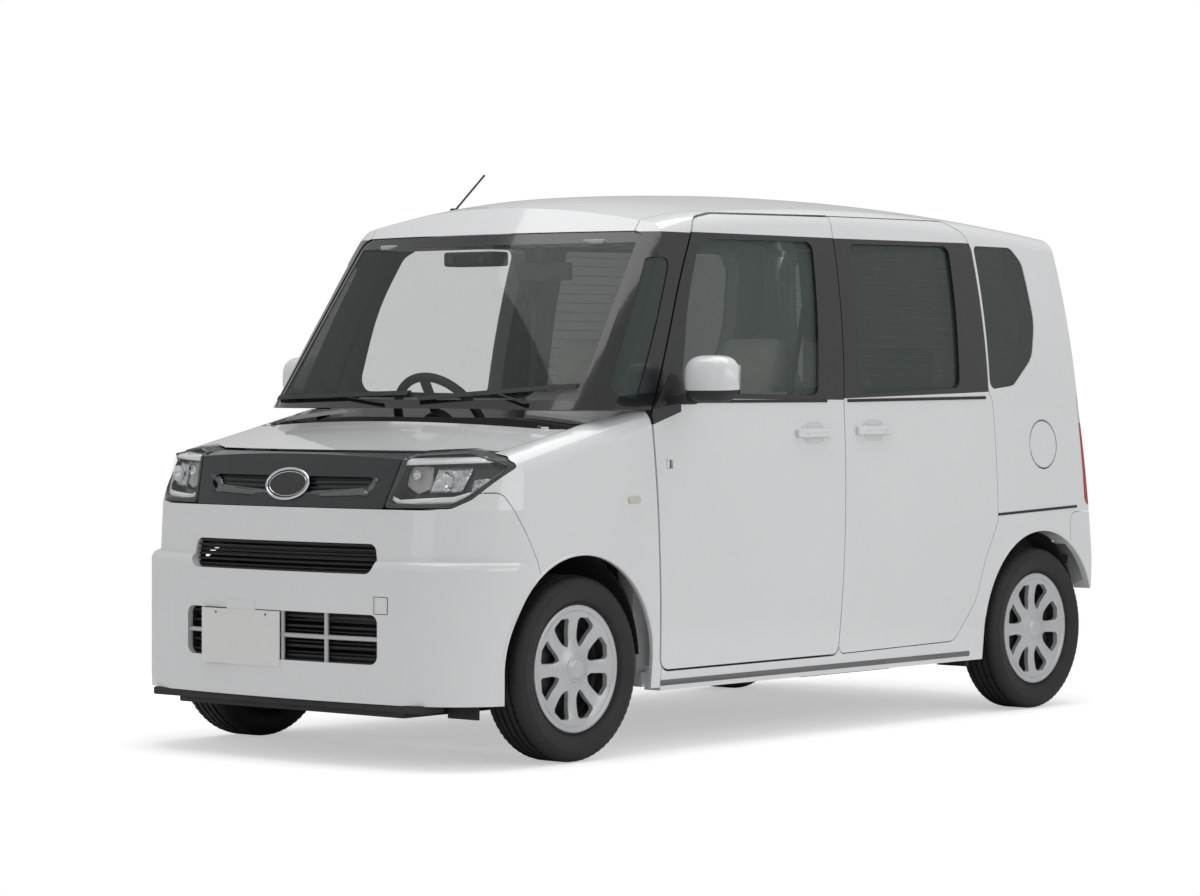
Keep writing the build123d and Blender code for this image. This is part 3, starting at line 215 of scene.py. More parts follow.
def pane(name, tint, alpha, rough=0.02, lines=0.0):
    """Tinted glass that keeps its gloss; lines is the spacing of heater wires."""
    material, tree = graph(name)
    shader = coat_of(tree, tint, rough, vary=0.03, bump=0.0, coat=0.0, alpha=alpha, specular=0.8)
    if lines:
        place = put(tree, "ShaderNodeTexCoord").outputs["Object"]
        height = put(tree, "ShaderNodeSeparateXYZ")
        tree.links.new(place, height.inputs[0])
        wave = maths(tree, "FRACT", maths(tree, "DIVIDE", height.outputs["Z"], lines))
        wire = maths(tree, "LESS_THAN", wave, 0.05)
        tree.links.new(maths(tree, "MAXIMUM", wire, alpha), shader.inputs["Alpha"])
    finish_of(tree, shader.outputs[0])
    return material


FINISHES = {}


def recipe(colour, rough, vary, grain, bump, **more):
    return dict(colour=colour, rough=rough, vary=vary, grain=grain, bump=bump, **more)


def looks(colours):
    """The recipes of every finish, by name."""
    return {
        "paint": recipe(tuple(colours.paint), 0.22, 0.008, 700, 0.012, coat=1.0, patch=3),
        "gloss": recipe(tuple(colours.trim), 0.16, 0.1, 900, 0.01, coat=0.6, patch=20),
        "matte": recipe((0.022, 0.023, 0.024), 0.62, 0.15, 1400, 0.25, patch=30),
        "satin": recipe(tuple(colours.grille), 0.30, 0.06, 2200, 0.03, metallic=0.75, coat=0.3),
        "silver": recipe(tuple(colours.wheel), 0.34, 0.03, 2600, 0.03, metallic=0.35, coat=0.4),
        "chrome": recipe((0.78, 0.79, 0.80), 0.08, 0.02, 400, 0.01, metallic=1.0),
        "steel": recipe((0.10, 0.10, 0.105), 0.5, 0.2, 500, 0.1, metallic=0.8),
        "iron": recipe((0.035, 0.035, 0.037), 0.6, 0.25, 350, 0.3, metallic=0.5),
        "rubber": recipe((0.014, 0.0145, 0.015), 0.62, 0.18, 1100, 0.18, patch=14),
        "cabin": recipe((0.030, 0.030, 0.032), 0.55, 0.1, 1300, 0.35, patch=25),
        "lining": recipe((0.42, 0.42, 0.40), 0.8, 0.05, 900, 0.2, patch=18),
        "guide": recipe((0.86, 0.88, 0.88), 0.25, 0.01, 600, 0.02, coat=0.5),
        "white": recipe((0.80, 0.80, 0.79), 0.35, 0.01, 900, 0.02),
        "facets": recipe((0.62, 0.64, 0.64), 0.12, 0.25, 90, 1.0, metallic=1.0, patch=60, depth=0.004),
        "bezel": recipe((0.030, 0.033, 0.034), 0.28, 0.1, 900, 0.04, metallic=0.3, coat=0.5),
        "blade": recipe((0.17, 0.18, 0.18), 0.30, 0.04, 2200, 0.03, metallic=0.8, coat=0.4),
        "marker": recipe((0.62, 0.60, 0.55), 0.15, 0.05, 300, 0.2, coat=0.8),
        # Painted shade: body paint darkened to stand for the shade in the door-handle recesses
        "shaded_scoop": recipe((0.68, 0.69, 0.695), 0.25, 0.01, 700, 0.012, coat=1.0, patch=3),
        "undersill": recipe((0.16, 0.165, 0.165), 0.5, 0.1, 900, 0.1),
    }


def weave(name, colour):
    """Seat cloth: a fine crossed weave with sheen and soft mottling."""
    material, tree = graph(name)
    join = tree.links.new
    shader = coat_of(tree, colour, 0.86, vary=0.07, grain=420, bump=0.25, patch=22, sheen=0.35, depth=0.001)
    place = put(tree, "ShaderNodeTexCoord").outputs["Object"]
    warp = put(tree, "ShaderNodeTexWave", Scale=260.0, Distortion=0.6)
    weft = put(tree, "ShaderNodeTexWave", Scale=260.0, Distortion=0.6)
    weft.bands_direction = "Z"
    join(place, warp.inputs["Vector"])
    join(place, weft.inputs["Vector"])
    height = maths(tree, "MULTIPLY", warp.outputs["Fac"], weft.outputs["Fac"])
    lift = put(tree, "ShaderNodeBump", Strength=0.4, Distance=0.0008)
    join(height, lift.inputs["Height"])
    join(lift.outputs["Normal"], shader.inputs["Normal"])
    finish_of(tree, shader.outputs[0])
    return material


# Mesh helpers

def shade(mesh, degrees):
    """Smooth shading, broken at edges sharper than an angle."""
    for polygon in mesh.polygons:
        polygon.use_smooth = True
    mesh.set_sharp_from_angle(angle=math.radians(degrees))


def meshed(name, bm):
    """Settles an edit mesh and frees it."""
    mesh = bpy.data.meshes.new(name)
    bm.to_mesh(mesh)
    bm.free()
    return mesh


def quads(rows, cols, ring_rows, ring_cols, turned=False):
    """Faces over a grid of points, closed to a ring along its rows or its columns."""
    faces = []
    for i in range(rows if ring_rows else rows - 1):
        j = (i + 1) % rows
        for k in range(cols if ring_cols else cols - 1):
            m = (k + 1) % cols
            quad = (i * cols + k, i * cols + m, j * cols + m, j * cols + k)
            faces.append(quad[::-1] if turned else quad)
    return faces


def piece(name, points, faces, finish, body, smooth=True):
    """A mesh object that rides on a body."""
    mesh = bpy.data.meshes.new(name)
    mesh.from_pydata([tuple(p) for p in points], [], faces)
    mesh.validate()
    return dressed(name, mesh, finish, body, smooth)


def dressed(name, mesh, finish, body, smooth=True):
    """An object of a mesh in a named finish that rides on a body."""
    obj = bpy.data.objects.new(name, mesh)
    bpy.context.scene.collection.objects.link(obj)
    if smooth:
        shade(mesh, 38)
    mesh.materials.append(FINISHES[finish])
    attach(obj, body)
    return obj


def rounded(corners, steps=6):
    """Points of a polygon whose corners are arcs, from (u, v, radius) in millimetres."""
    out = []
    n = len(corners)
    for i in range(n):
        (pu, pv, _), (qu, qv, r), (su, sv, _) = corners[i - 1], corners[i], corners[(i + 1) % n]
        a, b = Vector((pu - qu, pv - qv)), Vector((su - qu, sv - qv))
        la, lb = a.length, b.length
        a.normalize()
        b.normalize()
        half = math.acos(max(-1, min(1, a.dot(b)))) / 2
        reach = min(r / math.tan(half), 0.48 * la, 0.48 * lb)
        start, end = Vector((qu, qv)) + a * reach, Vector((qu, qv)) + b * reach
        corner = Vector((qu, qv))
        for k in range(steps + 1):
            t = k / steps
            out.append((start * (1 - t) ** 2 + corner * 2 * t * (1 - t) + end * t * t) * MM)
    return out


TREES = {}


def tree_of(*names):
    """A ray tree over some CAD nodes at rest."""
    if names not in TREES:
        points, faces = [], []
        for name in names:
            mesh = NODES[name].data
            base = len(points)
            points += [v.co.copy() for v in mesh.vertices]
            faces += [[base + i for i in p.vertices] for p in mesh.polygons]
        TREES[names] = BVHTree.FromPolygons(points, faces)
    return TREES[names]


# Each view's sight line as its axis, its sign and its distance, then the axes of u and v
VIEWS = {"left": (1, 1, 2.0, 0, 2), "right": (1, -1, 2.0, 0, 2), "front": (0, 1, 3.0, 1, 2)}


def cast(tree, view, u, v):
    """Where the line through (u, v) of a view first meets the nodes, and the way back."""
    axis, sign, far, across, up = VIEWS[view]
    origin, out = Vector((0, 0, 0)), Vector((0, 0, 0))
    origin[axis], origin[across], origin[up] = sign * far, u, v
    out[axis] = sign
    hit = tree.ray_cast(origin, -out)[0]
    return None if hit is None else (hit, out)


def skin(name, corners, view, nodes, finish, body, lift=0.0, thick=0.002, cell=0.02, steps=6):
    """A plate that follows the nodes' outer surface inside an outline, lifted off it and given a thickness."""
    ray = tree_of(*nodes)
    bm = bmesh.new()
    rim = [bm.verts.new((p.x, p.y, 0)) for p in rounded(corners, steps)]
    edges = [bm.edges.new((rim[i - 1], rim[i])) for i in range(len(rim))]
    bmesh.ops.triangle_fill(bm, edges=edges, use_beauty=True)
    for normal in (Vector((1, 0, 0)), Vector((0, 1, 0))):
        reach = [v.co.dot(normal) for v in bm.verts]
        low, high = min(reach), max(reach)
        count = int((high - low) / cell)
        for k in range(1, count + 1):
            spot = normal * (low + (high - low) * k / (count + 1))
            geometry = bm.verts[:] + bm.edges[:] + bm.faces[:]
            bmesh.ops.bisect_plane(bm, geom=geometry, plane_co=spot, plane_no=normal)
    met, missed = [], []
    for vert in bm.verts:
        flat = vert.co.copy()
        found = cast(ray, view, flat.x, flat.y)
        if found is None:
            missed.append((vert, flat))
            continue
        hit, out = found
        vert.co = hit + out * lift
        met.append((flat, vert.co.copy()))
    axis, sign, _, across, up = VIEWS[view]
    for vert, flat in missed:
        spot = min(met, key=lambda pair: (pair[0] - flat).length_squared)[1].copy()
        spot[across], spot[up] = flat.x, flat.y
        vert.co = spot
    bmesh.ops.recalc_face_normals(bm, faces=bm.faces)
    mesh = meshed(name, bm)
    obj = dressed(name, mesh, finish, body)
    if sign * sum(p.normal[axis] for p in mesh.polygons) < 0:
        mesh.flip_normals()
    solid = obj.modifiers.new("Thickness", "SOLIDIFY")
    solid.thickness = thick
    solid.offset = -1
    return obj


def about(centre, side, r, angle, y):
    """A point at a radius and angle about a wheel's centre, y outboard of it."""
    return centre[0] + r * math.cos(angle), centre[1] + side * y, centre[2] + r * math.sin(angle)


def lathe(name, profile, centre, side, finish, body, turns=96):
    """A ring swept about the wheel's axis from (radius, outboard) points."""
    points = [
        about(centre, side, r, 2 * math.pi * i / turns, y) for i in range(turns) for r, y in profile]
    faces = quads(turns, len(profile), True, False, side < 0)
    return piece(name, points, faces, finish, body)


def tube(name, points, radius, finish, body, sides=10, closed=False):
    """A round bar along a list of points."""
    verts = []
    n = len(points)
    for i, p in enumerate(points):
        before = points[i - 1] if (i or closed) else p
        after = points[(i + 1) % n] if (i < n - 1 or closed) else p
        way = (after - before).normalized()
        side = way.cross(Vector((0.13, 0.21, 0.97))).normalized()
        up = side.cross(way)
        for k in range(sides):
            a = 2 * math.pi * k / sides
            verts.append(p + side * radius * math.cos(a) + up * radius * math.sin(a))
    faces = quads(n, sides, closed, True)
    if not closed:
        faces.append(tuple(range(sides))[::-1])
        faces.append(tuple((n - 1) * sides + k for k in range(sides)))
    return piece(name, verts, faces, finish, body)


def slab(name, low, high, finish, body, bevel=0.006):
    """A box with rounded edges, given by its corners in millimetres."""
    bm = bmesh.new()
    bmesh.ops.create_cube(bm, size=1)
    for v in bm.verts:
        v.co = Vector([(v.co[k] + 0.5) * (high[k] - low[k]) + low[k] for k in range(3)]) * MM
    bmesh.ops.bevel(bm, geom=bm.edges[:], offset=bevel, segments=3, affect="EDGES", profile=0.6)
    return dressed(name, meshed(name, bm), finish, body)


def sided_slab(name, side, low, high, finish, body, bevel):
    """A slab on the left (1) or the right (-1), given by its corners on the left."""
    near, far = sorted((side * low[1], side * high[1]))
    slab(name, (low[0], near, low[2]), (high[0], far, high[2]), finish, body, bevel)


# Operators

class WAGON_OT_paintwork(bpy.types.Operator):
    """Gives every piece of the frame its finish"""

    bl_idname = "wagon.paintwork"
    bl_label = "Paint the Frame"

    def execute(self, context):
        colours = context.scene.wagon_colours
        recipes = looks(colours)
        for name, values in recipes.items():
            FINISHES[name] = plain("wagon_" + name, **values)
        paint, gloss = recipes["paint"], recipes["gloss"]
        privacy = tuple(colours.privacy)
        FINISHES.update(
            clear=pane("wagon_clear_pane", (0.20, 0.26, 0.24), 0.16),
            tinted=pane("wagon_tinted_pane", privacy, 0.72),
            heated=pane("wagon_heated_pane", privacy, 0.72, lines=0.032),
            lens=pane("wagon_lens", (0.55, 0.58, 0.58), 0.06, rough=0.01),
            cloth=weave("wagon_cloth", tuple(colours.fabric)),
            turn=pane("wagon_turn_lamp", (0.60, 0.60, 0.58), 0.75, rough=0.15),
            door=two_tone("wagon_front_door", paint, gloss, [
                [(0.80, 1.081), (0.80, 1.596), (-0.26, 1.600), (-0.26, 1.073)],
                [(0.80, 1.00), (0.80, 1.09), (0.655, 1.09), (0.655, 1.04)]]),
            slider=two_tone("wagon_sliding_door", paint, gloss, [
                [(-0.10, 1.071), (-0.10, 1.598), (-1.03, 1.606), (-1.03, 1.098), (-0.86, 1.094)]]),
            screen_edge=two_tone(
                "wagon_windscreen", gloss, dict(
                    colour=(0.10, 0.13, 0.12), rough=0.02, vary=0.03, bump=0.0, alpha=0.18, specular=0.8),
                [[(-0.625, 1.075), (0.625, 1.075), (0.578, 1.560), (-0.578, 1.560)]], "YZ"),
            tail=two_tone(
                "wagon_tail_lamp", recipe((0.40, 0.008, 0.010), 0.12, 0.1, 300, 0.2, coat=1.0),
                recipe((0.55, 0.56, 0.56), 0.12, 0.05, 300, 0.2, coat=1.0),
                [[(-1.9, 0.995), (-1.4, 0.985), (-1.4, 1.2), (-1.9, 1.2)]]),
            mirror=two_tone("wagon_mirror_shell", paint, recipes["matte"], [
                [(0.5, 0.9), (0.9, 0.9), (0.9, 1.100), (0.5, 1.112)]]))
        table = {
            "paint": ("body_sides", "roof_panel", "bonnet", "front_fenders", "front_bumper", "tailgate",
                      "rear_bumper", "fuel_lid"),
            "door": ("front_door_left", "front_door_right"), "slider": ("sliding_doors",),
            "mirror": ("mirror_left", "mirror_right"), "gloss": ("windscreen_pillars",),
            "clear": ("front_window_left", "front_window_right"), "screen_edge": ("windscreen",),
            "tinted": ("quarter_windows",), "heated": ("sliding_door_windows", "rear_window"),
            "lens": ("headlamp_covers",), "tail": ("tail_lamps",), "satin": ("front_grille",),
            "matte": ("lower_grille", "headlamps", "wipers", "antenna", "front_wheelhouses", "rear_wheelhouses",
                      "fuel_tank"),
            "steel": ("floor_pan", "firewall", "front_frame", "exhaust"),
            "iron": ("engine_block", "rear_axle", "front_suspension", "knuckle_left", "knuckle_right"),
            "cabin": ("dashboard", "steering_wheel", "seat_frames", "b_pillar"), "white": ("number_plate",),
            "cloth": ("front_seats", "rear_seat"),
        }
        for finish, names in table.items():
            for name in names:
                mesh = NODES[name].data
                mesh.materials.clear()
                mesh.materials.append(FINISHES[finish])
                shade(mesh, 28)
        return {"FINISHED"}


def tread():
    """Tyre section as (radius, outboard, kind) in metres; kind marks the tread's grooves and shoulders."""
    half = 0.0775
    section = [(0.1795, -0.0535, ""), (0.196, -0.0555, ""), (0.200, -0.0600, ""), (0.203, -0.0665, ""),
               (0.2055, -0.0685, ""), (0.212, -0.0712, ""), (0.224, -half + 0.0022, ""),
               (0.236, -half + 0.0008, ""), (0.240, -half + 0.0002, ""), (0.2405, -half, ""),
               (0.2485, -half + 0.0006, ""), (0.249, -half + 0.0016, ""),
               (0.258, -0.0735, ""), (0.2665, -0.0685, "s"), (0.2725, -0.0620, "s"), (0.2760, -0.0545, "s"),
               (0.2772, -0.0470, "s"), (0.2776, -0.0400, "s")]
    centre = []
    for y in (-0.0365, -0.0125, 0.0125, 0.0365):
        walls = ((-0.0042, ""), (-0.0036, "g"), (0.0036, "g"), (0.0042, ""))
        centre += [(0.2780, y + wide, kind) for wide, kind in walls]
        if y < 0.03:
            centre += [(0.2782, y + step, "b") for step in (0.0085, 0.0125, 0.0165)]
    right = [(r, -y, k) for r, y, k in reversed(section)]
    return section + centre + right


class WAGON_OT_tyres(bpy.types.Operator):
    """Makes the four tyres with their grooves, sipes and sidewall rings"""

    bl_idname = "wagon.tyres"
    bl_label = "Make Tyres"

    def execute(self, context):
        groove = context.scene.wagon_sizes.groove
        profile = tread()
        turns = 216
        for place in WHEELS:
            low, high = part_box("tyre_" + place)
            centre = [(a + b) / 2 for a, b in zip(low, high)]
            side = 1 if centre[1] > 0 else -1
            points = []
            for i in range(turns):
                angle = 2 * math.pi * i / turns
                for k, (r, y, kind) in enumerate(profile):
                    if kind == "g":
                        r -= groove
                    elif kind == "s" and i % 3 == 0:
                        r -= 0.0028
                    elif kind == "b" and (i + k // 5) % 4 == 0:
                        r -= 0.0022
                    points.append(about(centre, side, r, angle, y))
            faces = quads(turns, len(profile), True, True, side > 0)
            obj = piece(
                "tyre_skin_" + place, points, faces, "rubber", "wheel_" + place)
            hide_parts("tyre_" + place)
        return {"FINISHED"}


def cover_height(r):
    """How far outboard the wheel cover stands at a radius, both in metres."""
    t = min(max((r - 0.03) / 0.150, 0), 1)
    return 0.0615 - 0.018 * math.sin(math.pi * t) ** 1.2 * (1 - 0.35 * t) - 0.004 * t


class WAGON_OT_wheels(bpy.types.Operator):
    """Makes the spoked wheel covers, their caps and the steel wheels and nuts behind them"""

    bl_idname = "wagon.wheels"
    bl_label = "Make Wheel Covers"

    def execute(self, context):
        sizes = context.scene.wagon_sizes
        count = sizes.spokes
        radii = [0.040, 0.050, 0.058, 0.064, 0.070, 0.078, 0.090, 0.104, 0.118, 0.132, 0.145, 0.154, 0.160,
                 0.1645, 0.168, 0.172]
        first, last = 4, 12
        half_sector = math.pi / count

        def opening(r):
            t = (r - radii[first]) / (radii[last] - radii[first])
            t = min(max(t, 0.0), 1.0)
            wide = 0.0095 + 0.031 * t
            ends = min(1.0, math.sqrt(t / 0.16)) * min(1.0, math.sqrt((1 - t) / 0.10))
            return max(wide * ends, 0.0006) / r

        solid_cols, hole_cols = 7, 10
        for place in WHEELS:
            low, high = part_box("tyre_" + place)
            centre = [(a + b) / 2 for a, b in zip(low, high)]
            side = 1 if centre[1] > 0 else -1
            body = "wheel_" + place
            points = []
            for r in radii:
                for sector in range(count):
                    middle = 2 * math.pi * sector / count + half_sector
                    w = opening(r)
                    for c in range(solid_cols):
                        t = c / solid_cols
                        a = middle - 2 * half_sector + w + (2 * half_sector - 2 * w) * t
                        across = (t - 0.5) * 2
                        rise = 0.0026 * (1 - across * across) * min(1, max(0, (r - 0.06) / 0.03))
                        points.append(about(centre, side, r, a, cover_height(r) + rise))
                    for c in range(hole_cols):
                        a = middle - w + 2 * w * c / hole_cols
                        points.append(about(centre, side, r, a, cover_height(r)))
            period = solid_cols + hole_cols
            faces = [
                quad for k, quad in enumerate(quads(len(radii), count * period, False, True, side > 0))
                if k % period < solid_cols or not first <= k // (count * period) < last]
            bm = bmesh.new()
            made = [bm.verts.new(p) for p in points]
            for face in faces:
                bm.faces.new([made[i] for i in face])
            loose = [v for v in bm.verts if not v.link_faces]
            bmesh.ops.delete(bm, geom=loose, context="VERTS")
            inner = []
            for edge in bm.edges:
                middle = (edge.verts[0].co + edge.verts[1].co) / 2
                from_axle = math.hypot(middle.x - centre[0], middle.z - centre[2])
                if len(edge.link_faces) == 1 and 0.062 < from_axle < 0.163:
                    inner.append(edge)
            for grown in bmesh.ops.extrude_edge_only(bm, edges=inner)["geom"]:
                if isinstance(grown, bmesh.types.BMVert):
                    grown.co.y -= side * 0.016
            bmesh.ops.recalc_face_normals(bm, faces=bm.faces)
            mesh = meshed("cover_" + place, bm)
            cover = dressed("cover_" + place, mesh, "silver", body)
            flat = sum(p.normal.y * p.area for p in mesh.polygons)
            if flat * side < 0:
                mesh.flip_normals()
            bevel = cover.modifiers.new("Soft edges", "BEVEL")
            bevel.width = 0.0014
            bevel.segments = 2
            bevel.limit_method = "ANGLE"
            bevel.angle_limit = math.radians(50)
            ring = [(0.1700, cover_height(0.170) - 0.004), (0.1712, cover_height(0.171) + 0.001),
                    (0.1740, 0.0602), (0.1790, 0.0620), (0.1850, 0.0622), (0.1892, 0.0606), (0.1905, 0.0580),
                    (0.1900, 0.0560)]
            lathe("cover_ring_" + place, ring, centre, side, "silver", body, 128)
            cap = [(0.0425, cover_height(0.042) - 0.001), (0.0395, cover_height(0.040) + 0.0018),
                   (0.0370, cover_height(0.038) + 0.0010), (sizes.cap + 0.003, 0.0616), (sizes.cap, 0.0640),
                   (sizes.cap - 0.004, 0.0668), (0.020, 0.0672), (0.0150, 0.0662), (0.0060, 0.0660),
                   (0.0002, 0.0660)]
            lathe("cap_" + place, cap[::-1], centre, side, "silver", body, 64)
            barrel = [(0.1772, 0.0555), (0.1740, 0.0540), (0.1660, 0.0500), (0.1600, 0.0300), (0.1580, 0.0060),
                      (0.1500, 0.0000), (0.1250, 0.0030), (0.1150, 0.0120), (0.0900, 0.0160), (0.0700, 0.0120),
                      (0.0600, 0.0150), (0.0300, 0.0150)]
            lathe("steel_wheel_" + place, barrel, centre, side, "iron", body, 96)
            back = [(0.0300, 0.010), (0.1480, -0.004), (0.1560, 0.002), (0.1640, -0.0500), (0.1775, -0.0550)]
            lathe("wheel_back_" + place, back, centre, side, "iron", body, 96)
            for k in range(4):
                a = math.pi / 4 + k * math.pi / 2
                spot = Vector(about(centre, side, 0.050, a, 0.020))
                bolt = Matrix.Translation(spot) @ Matrix.Rotation(math.pi / 2, 4, "X")
                bm = bmesh.new()
                bmesh.ops.create_cone(
                    bm, cap_ends=True, segments=6, radius1=0.0095, radius2=0.008, depth=0.014, matrix=bolt)
                nut = f"nut_{place}_{k}"
                dressed(nut, meshed(nut, bm), "steel", body, False)
            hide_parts("rim_" + place)
        return {"FINISHED"}


def flipped(corners, side):
    return [(side * u, v, r) for u, v, r in corners]


def box_of(u0, u1, v0, v1, radius):
    """The corners of a rounded rectangle."""
    return [(u0, v0, radius), (u1, v0, radius), (u1, v1, radius), (u0, v1, radius)]


LAMP_TOP_BAR = [(399, 886, 2), (406, 905, 6), (627, 912, 20), (668, 898, 6), (654, 895, 6), (432, 887, 4)]
LAMP_GUIDE = [
    (377, 799, 2), (436, 772, 8), (603, 779, 20), (652, 796, 20), (672, 842, 4), (659, 845, 4), (640, 814, 16),
    (593, 796, 14), (436, 786, 6), (389, 804, 2)]
LAMP_MAIN = [(510, 807, 4), (524, 878, 4), (614, 882, 8), (597, 808, 4)]
LAMP_OUTER = [(617, 810, 4), (620, 846, 4), (663, 850, 6), (650, 816, 6)]
LAMP_TURN = [(426, 860, 8), (434, 881, 8), (501, 882, 8), (513, 819, 8), (471, 803, 8), (427, 825, 8)]
LAMP_BACK = [
    (402, 772, 8), (432, 912, 8), (560, 920, 30), (664, 902, 30), (694, 882, 12), (632, 798, 30),
    (598, 774, 30)]
GRILLE_BLADE = [(54, 796, 2), (318, 803, 8), (350, 850, 2), (318, 842, 3), (296, 818, 6), (66, 806, 2)]


class WAGON_OT_lamps(bpy.types.Operator):
    """Fits the light guides and faceted reflectors behind the headlamp covers, and the small side lamps"""

    bl_idname = "wagon.lamps"
    bl_label = "Fit Lamps"

    def execute(self, context):
        cover = ("headlamp_covers",)
        for side, word in SIDES:
            parts = (
                ("back", LAMP_BACK, -0.062, "bezel"), ("turn", LAMP_TURN, -0.040, "turn"),
                ("main", LAMP_MAIN, -0.034, "facets"), ("outer", LAMP_OUTER, -0.036, "facets"),
                ("guide", LAMP_GUIDE, -0.012, "guide"),
                ("top", LAMP_TOP_BAR, -0.010, "guide"),
            )
            for part, corners, lift, finish in parts:
                outline = flipped(corners, side)
                skin(f"lamp_{part}_{word}", outline, "front", cover, finish, "body", lift, 0.004, 0.014)
            for k, (y, z, r) in enumerate(((565, 846, 25), (470, 858, 15), (640, 832, 12))):
                spot = cast(tree_of(*cover), "front", side * y * MM, z * MM)[0] - Vector((0.026, 0, 0))
                bowl = [(r * MM * q, 0.014 * q * q) for q in (0.05, 0.3, 0.55, 0.8, 1.0)]
                points, faces = [], []
                turns = 24
                for i in range(turns):
                    a = 2 * math.pi * i / turns
                    for radius, out in bowl:
                        points.append(spot + Vector((out - 0.006, radius * math.cos(a), radius * math.sin(a))))
                n = len(bowl)
                for i in range(turns):
                    j = (i + 1) % turns
                    for m in range(n - 1):
                        faces.append((i * n + m, j * n + m, j * n + m + 1, i * n + m + 1))
                piece(f"lamp_bowl_{word}_{k}", points, faces, "chrome", "body", False)
            rim = rounded(flipped(LAMP_BACK, side), 5)
            line = []
            for p in rim:
                found = cast(tree_of(*cover), "front", p.x, p.y)
                if found:
                    line.append(found[0] - Vector((0.004, 0, 0)))
            tube(f"lamp_rim_{word}", line, 0.0035, "bezel", "body", 8, True)
            marker = box_of(875, 929, 765, 785, 9)
            skin(f"side_marker_{word}", marker, word, ("front_fenders",), "marker", "body", 0.004, 0.004, 0.03)
        return {"FINISHED"}


class WAGON_OT_grille(bpy.types.Operator):
    """Fits the grille's blades and bare oval ring, and the bars and fins of the two intakes"""

    bl_idname = "wagon.grille"
    bl_label = "Fit Grille"

    def execute(self, context):
        panel = ("front_grille",)
        for side, word in SIDES:
            skin(f"grille_blade_{word}", flipped(GRILLE_BLADE, side), "front", panel, "blade", "body",
                 0.008, 0.010, 0.03)
            for k, (z0, z1) in enumerate(((812, 818), (826, 831), (839, 843))):
                slat = flipped([(70, z0, 1), (300, z0 + 3, 1), (318, z1 + 3, 1), (70, z1, 1)], side)
                skin(f"grille_slat_{word}_{k}", slat, "front", panel, "matte", "body", 0.006, 0.004, 0.05)
        ray = tree_of(*panel)

        def oval(wide, tall, out):
            """Points round the badge place, following the panel's slope at its middle."""
            line = []
            for i in range(72):
                a = 2 * math.pi * i / 72
                z = 0.826 + tall * math.sin(a)
                line.append(Vector((cast(ray, "front", 0.0, z)[0].x + out, wide * math.cos(a), z)))
            return line

        tube("badge_ring", oval(0.086, 0.045, 0.005), 0.0042, "chrome", "body", 12, True)
        tube("badge_inner", oval(0.076, 0.036, 0.004), 0.0014, "chrome", "body", 8, True)
        piece("badge_field", oval(0.084, 0.043, 0.003), [tuple(range(72))], "gloss", "body", False)

        for name, low, high, rows in (("upper", 572, 658, 6), ("lower", 305, 447, 9)):
            for k in range(rows):
                z = low + (high - low) * (k + 0.5) / rows
                line = []
                for i in range(25):
                    y = -0.372 + 0.744 * i / 24
                    found = cast(tree_of("front_bumper", "lower_grille"), "front", y, low * MM - 0.03)
                    line.append(Vector((found[0].x - 0.030, y, z * MM)))
                tube(f"intake_fin_{name}_{k}", line, 0.0028, "matte", "body", 6)
        bars = [[(-392, 378), (392, 378)]] + [[(y, 302), (y, 450)] for y in (20, 196, -330)]
        for k, ends in enumerate(bars):
            (y0, z0), (y1, z1) = ends
            line = []
            for i in range(25):
                y, z = y0 + (y1 - y0) * i / 24, z0 + (z1 - z0) * i / 24
                x = cast(tree_of("front_bumper"), "front", y * MM, 0.270)[0].x
                line.append(Vector((x - 0.012, y * MM, z * MM)))
            tube(f"intake_bar_{k}", line, 0.0075, "silver", "body", 10)
        return {"FINISHED"}


class WAGON_OT_mirrors(bpy.types.Operator):
    """Makes the rounded door mirrors with a painted cap, a dark lower shell and glass"""

    bl_idname = "wagon.mirrors"
    bl_label = "Make Mirrors"

    def execute(self, context):
        for side, word in SIDES:
            body = "front_door_" + word
            low, high = (Vector(corner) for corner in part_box("mirror_" + word))
            x0, x1, z0, z1 = low.x - 0.006, high.x + 0.006, 1.067, 1.213
            y_in, y_out = 0.766, 0.948
            points = []
            turns, rings = 40, 24
            for i in range(rings + 1):
                t = -1 + 2 * i / rings
                size = max(1 - abs(t) ** 3.2, 0.0) ** 0.42
                y = (y_in + y_out) / 2 + t * (y_out - y_in) / 2
                for k in range(turns):
                    a = 2 * math.pi * k / turns
                    c, s = math.cos(a), math.sin(a)
                    u = math.copysign(abs(c) ** 0.62, c)
                    v = math.copysign(abs(s) ** 0.68, s)
                    depth = 1.0 if u > 0 else 0.62
                    x = (x0 + x1) / 2 + (x1 - x0) / 2 * u * size * depth
                    z = (z0 + z1) / 2 + (z1 - z0) / 2 * v * size
                    points.append((x, side * y, z))
            faces = quads(rings + 1, turns, False, True, side < 0)
            shell = piece("mirror_shell_" + word, points, faces, "mirror", body)
            glass = ((0.792, 1.092), (0.925, 1.096), (0.928, 1.180), (0.900, 1.192), (0.800, 1.190),
                     (0.788, 1.180))
            back = (x0 + x1) / 2 - (x1 - x0) / 2 * 0.62
            flat = [(back - 0.0012, side * y, z) for y, z in glass]
            piece("mirror_glass_" + word, flat, [tuple(range(6))], "chrome", body, False)
            sided_slab("mirror_foot_" + word, side, (664, 700, 1062), (728, 790, 1096), "matte", body, 0.010)
            sail = [(790, 1046, 6), (640, 1086, 6), (664, 1150, 20), (702, 1160, 20)]
            skin("mirror_sail_" + word, sail, word, ("front_door_" + word, "windscreen_pillars"),
                 "matte", body, 0.0015, 0.0015, 0.03)
            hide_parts("mirror_" + word)
        return {"FINISHED"}


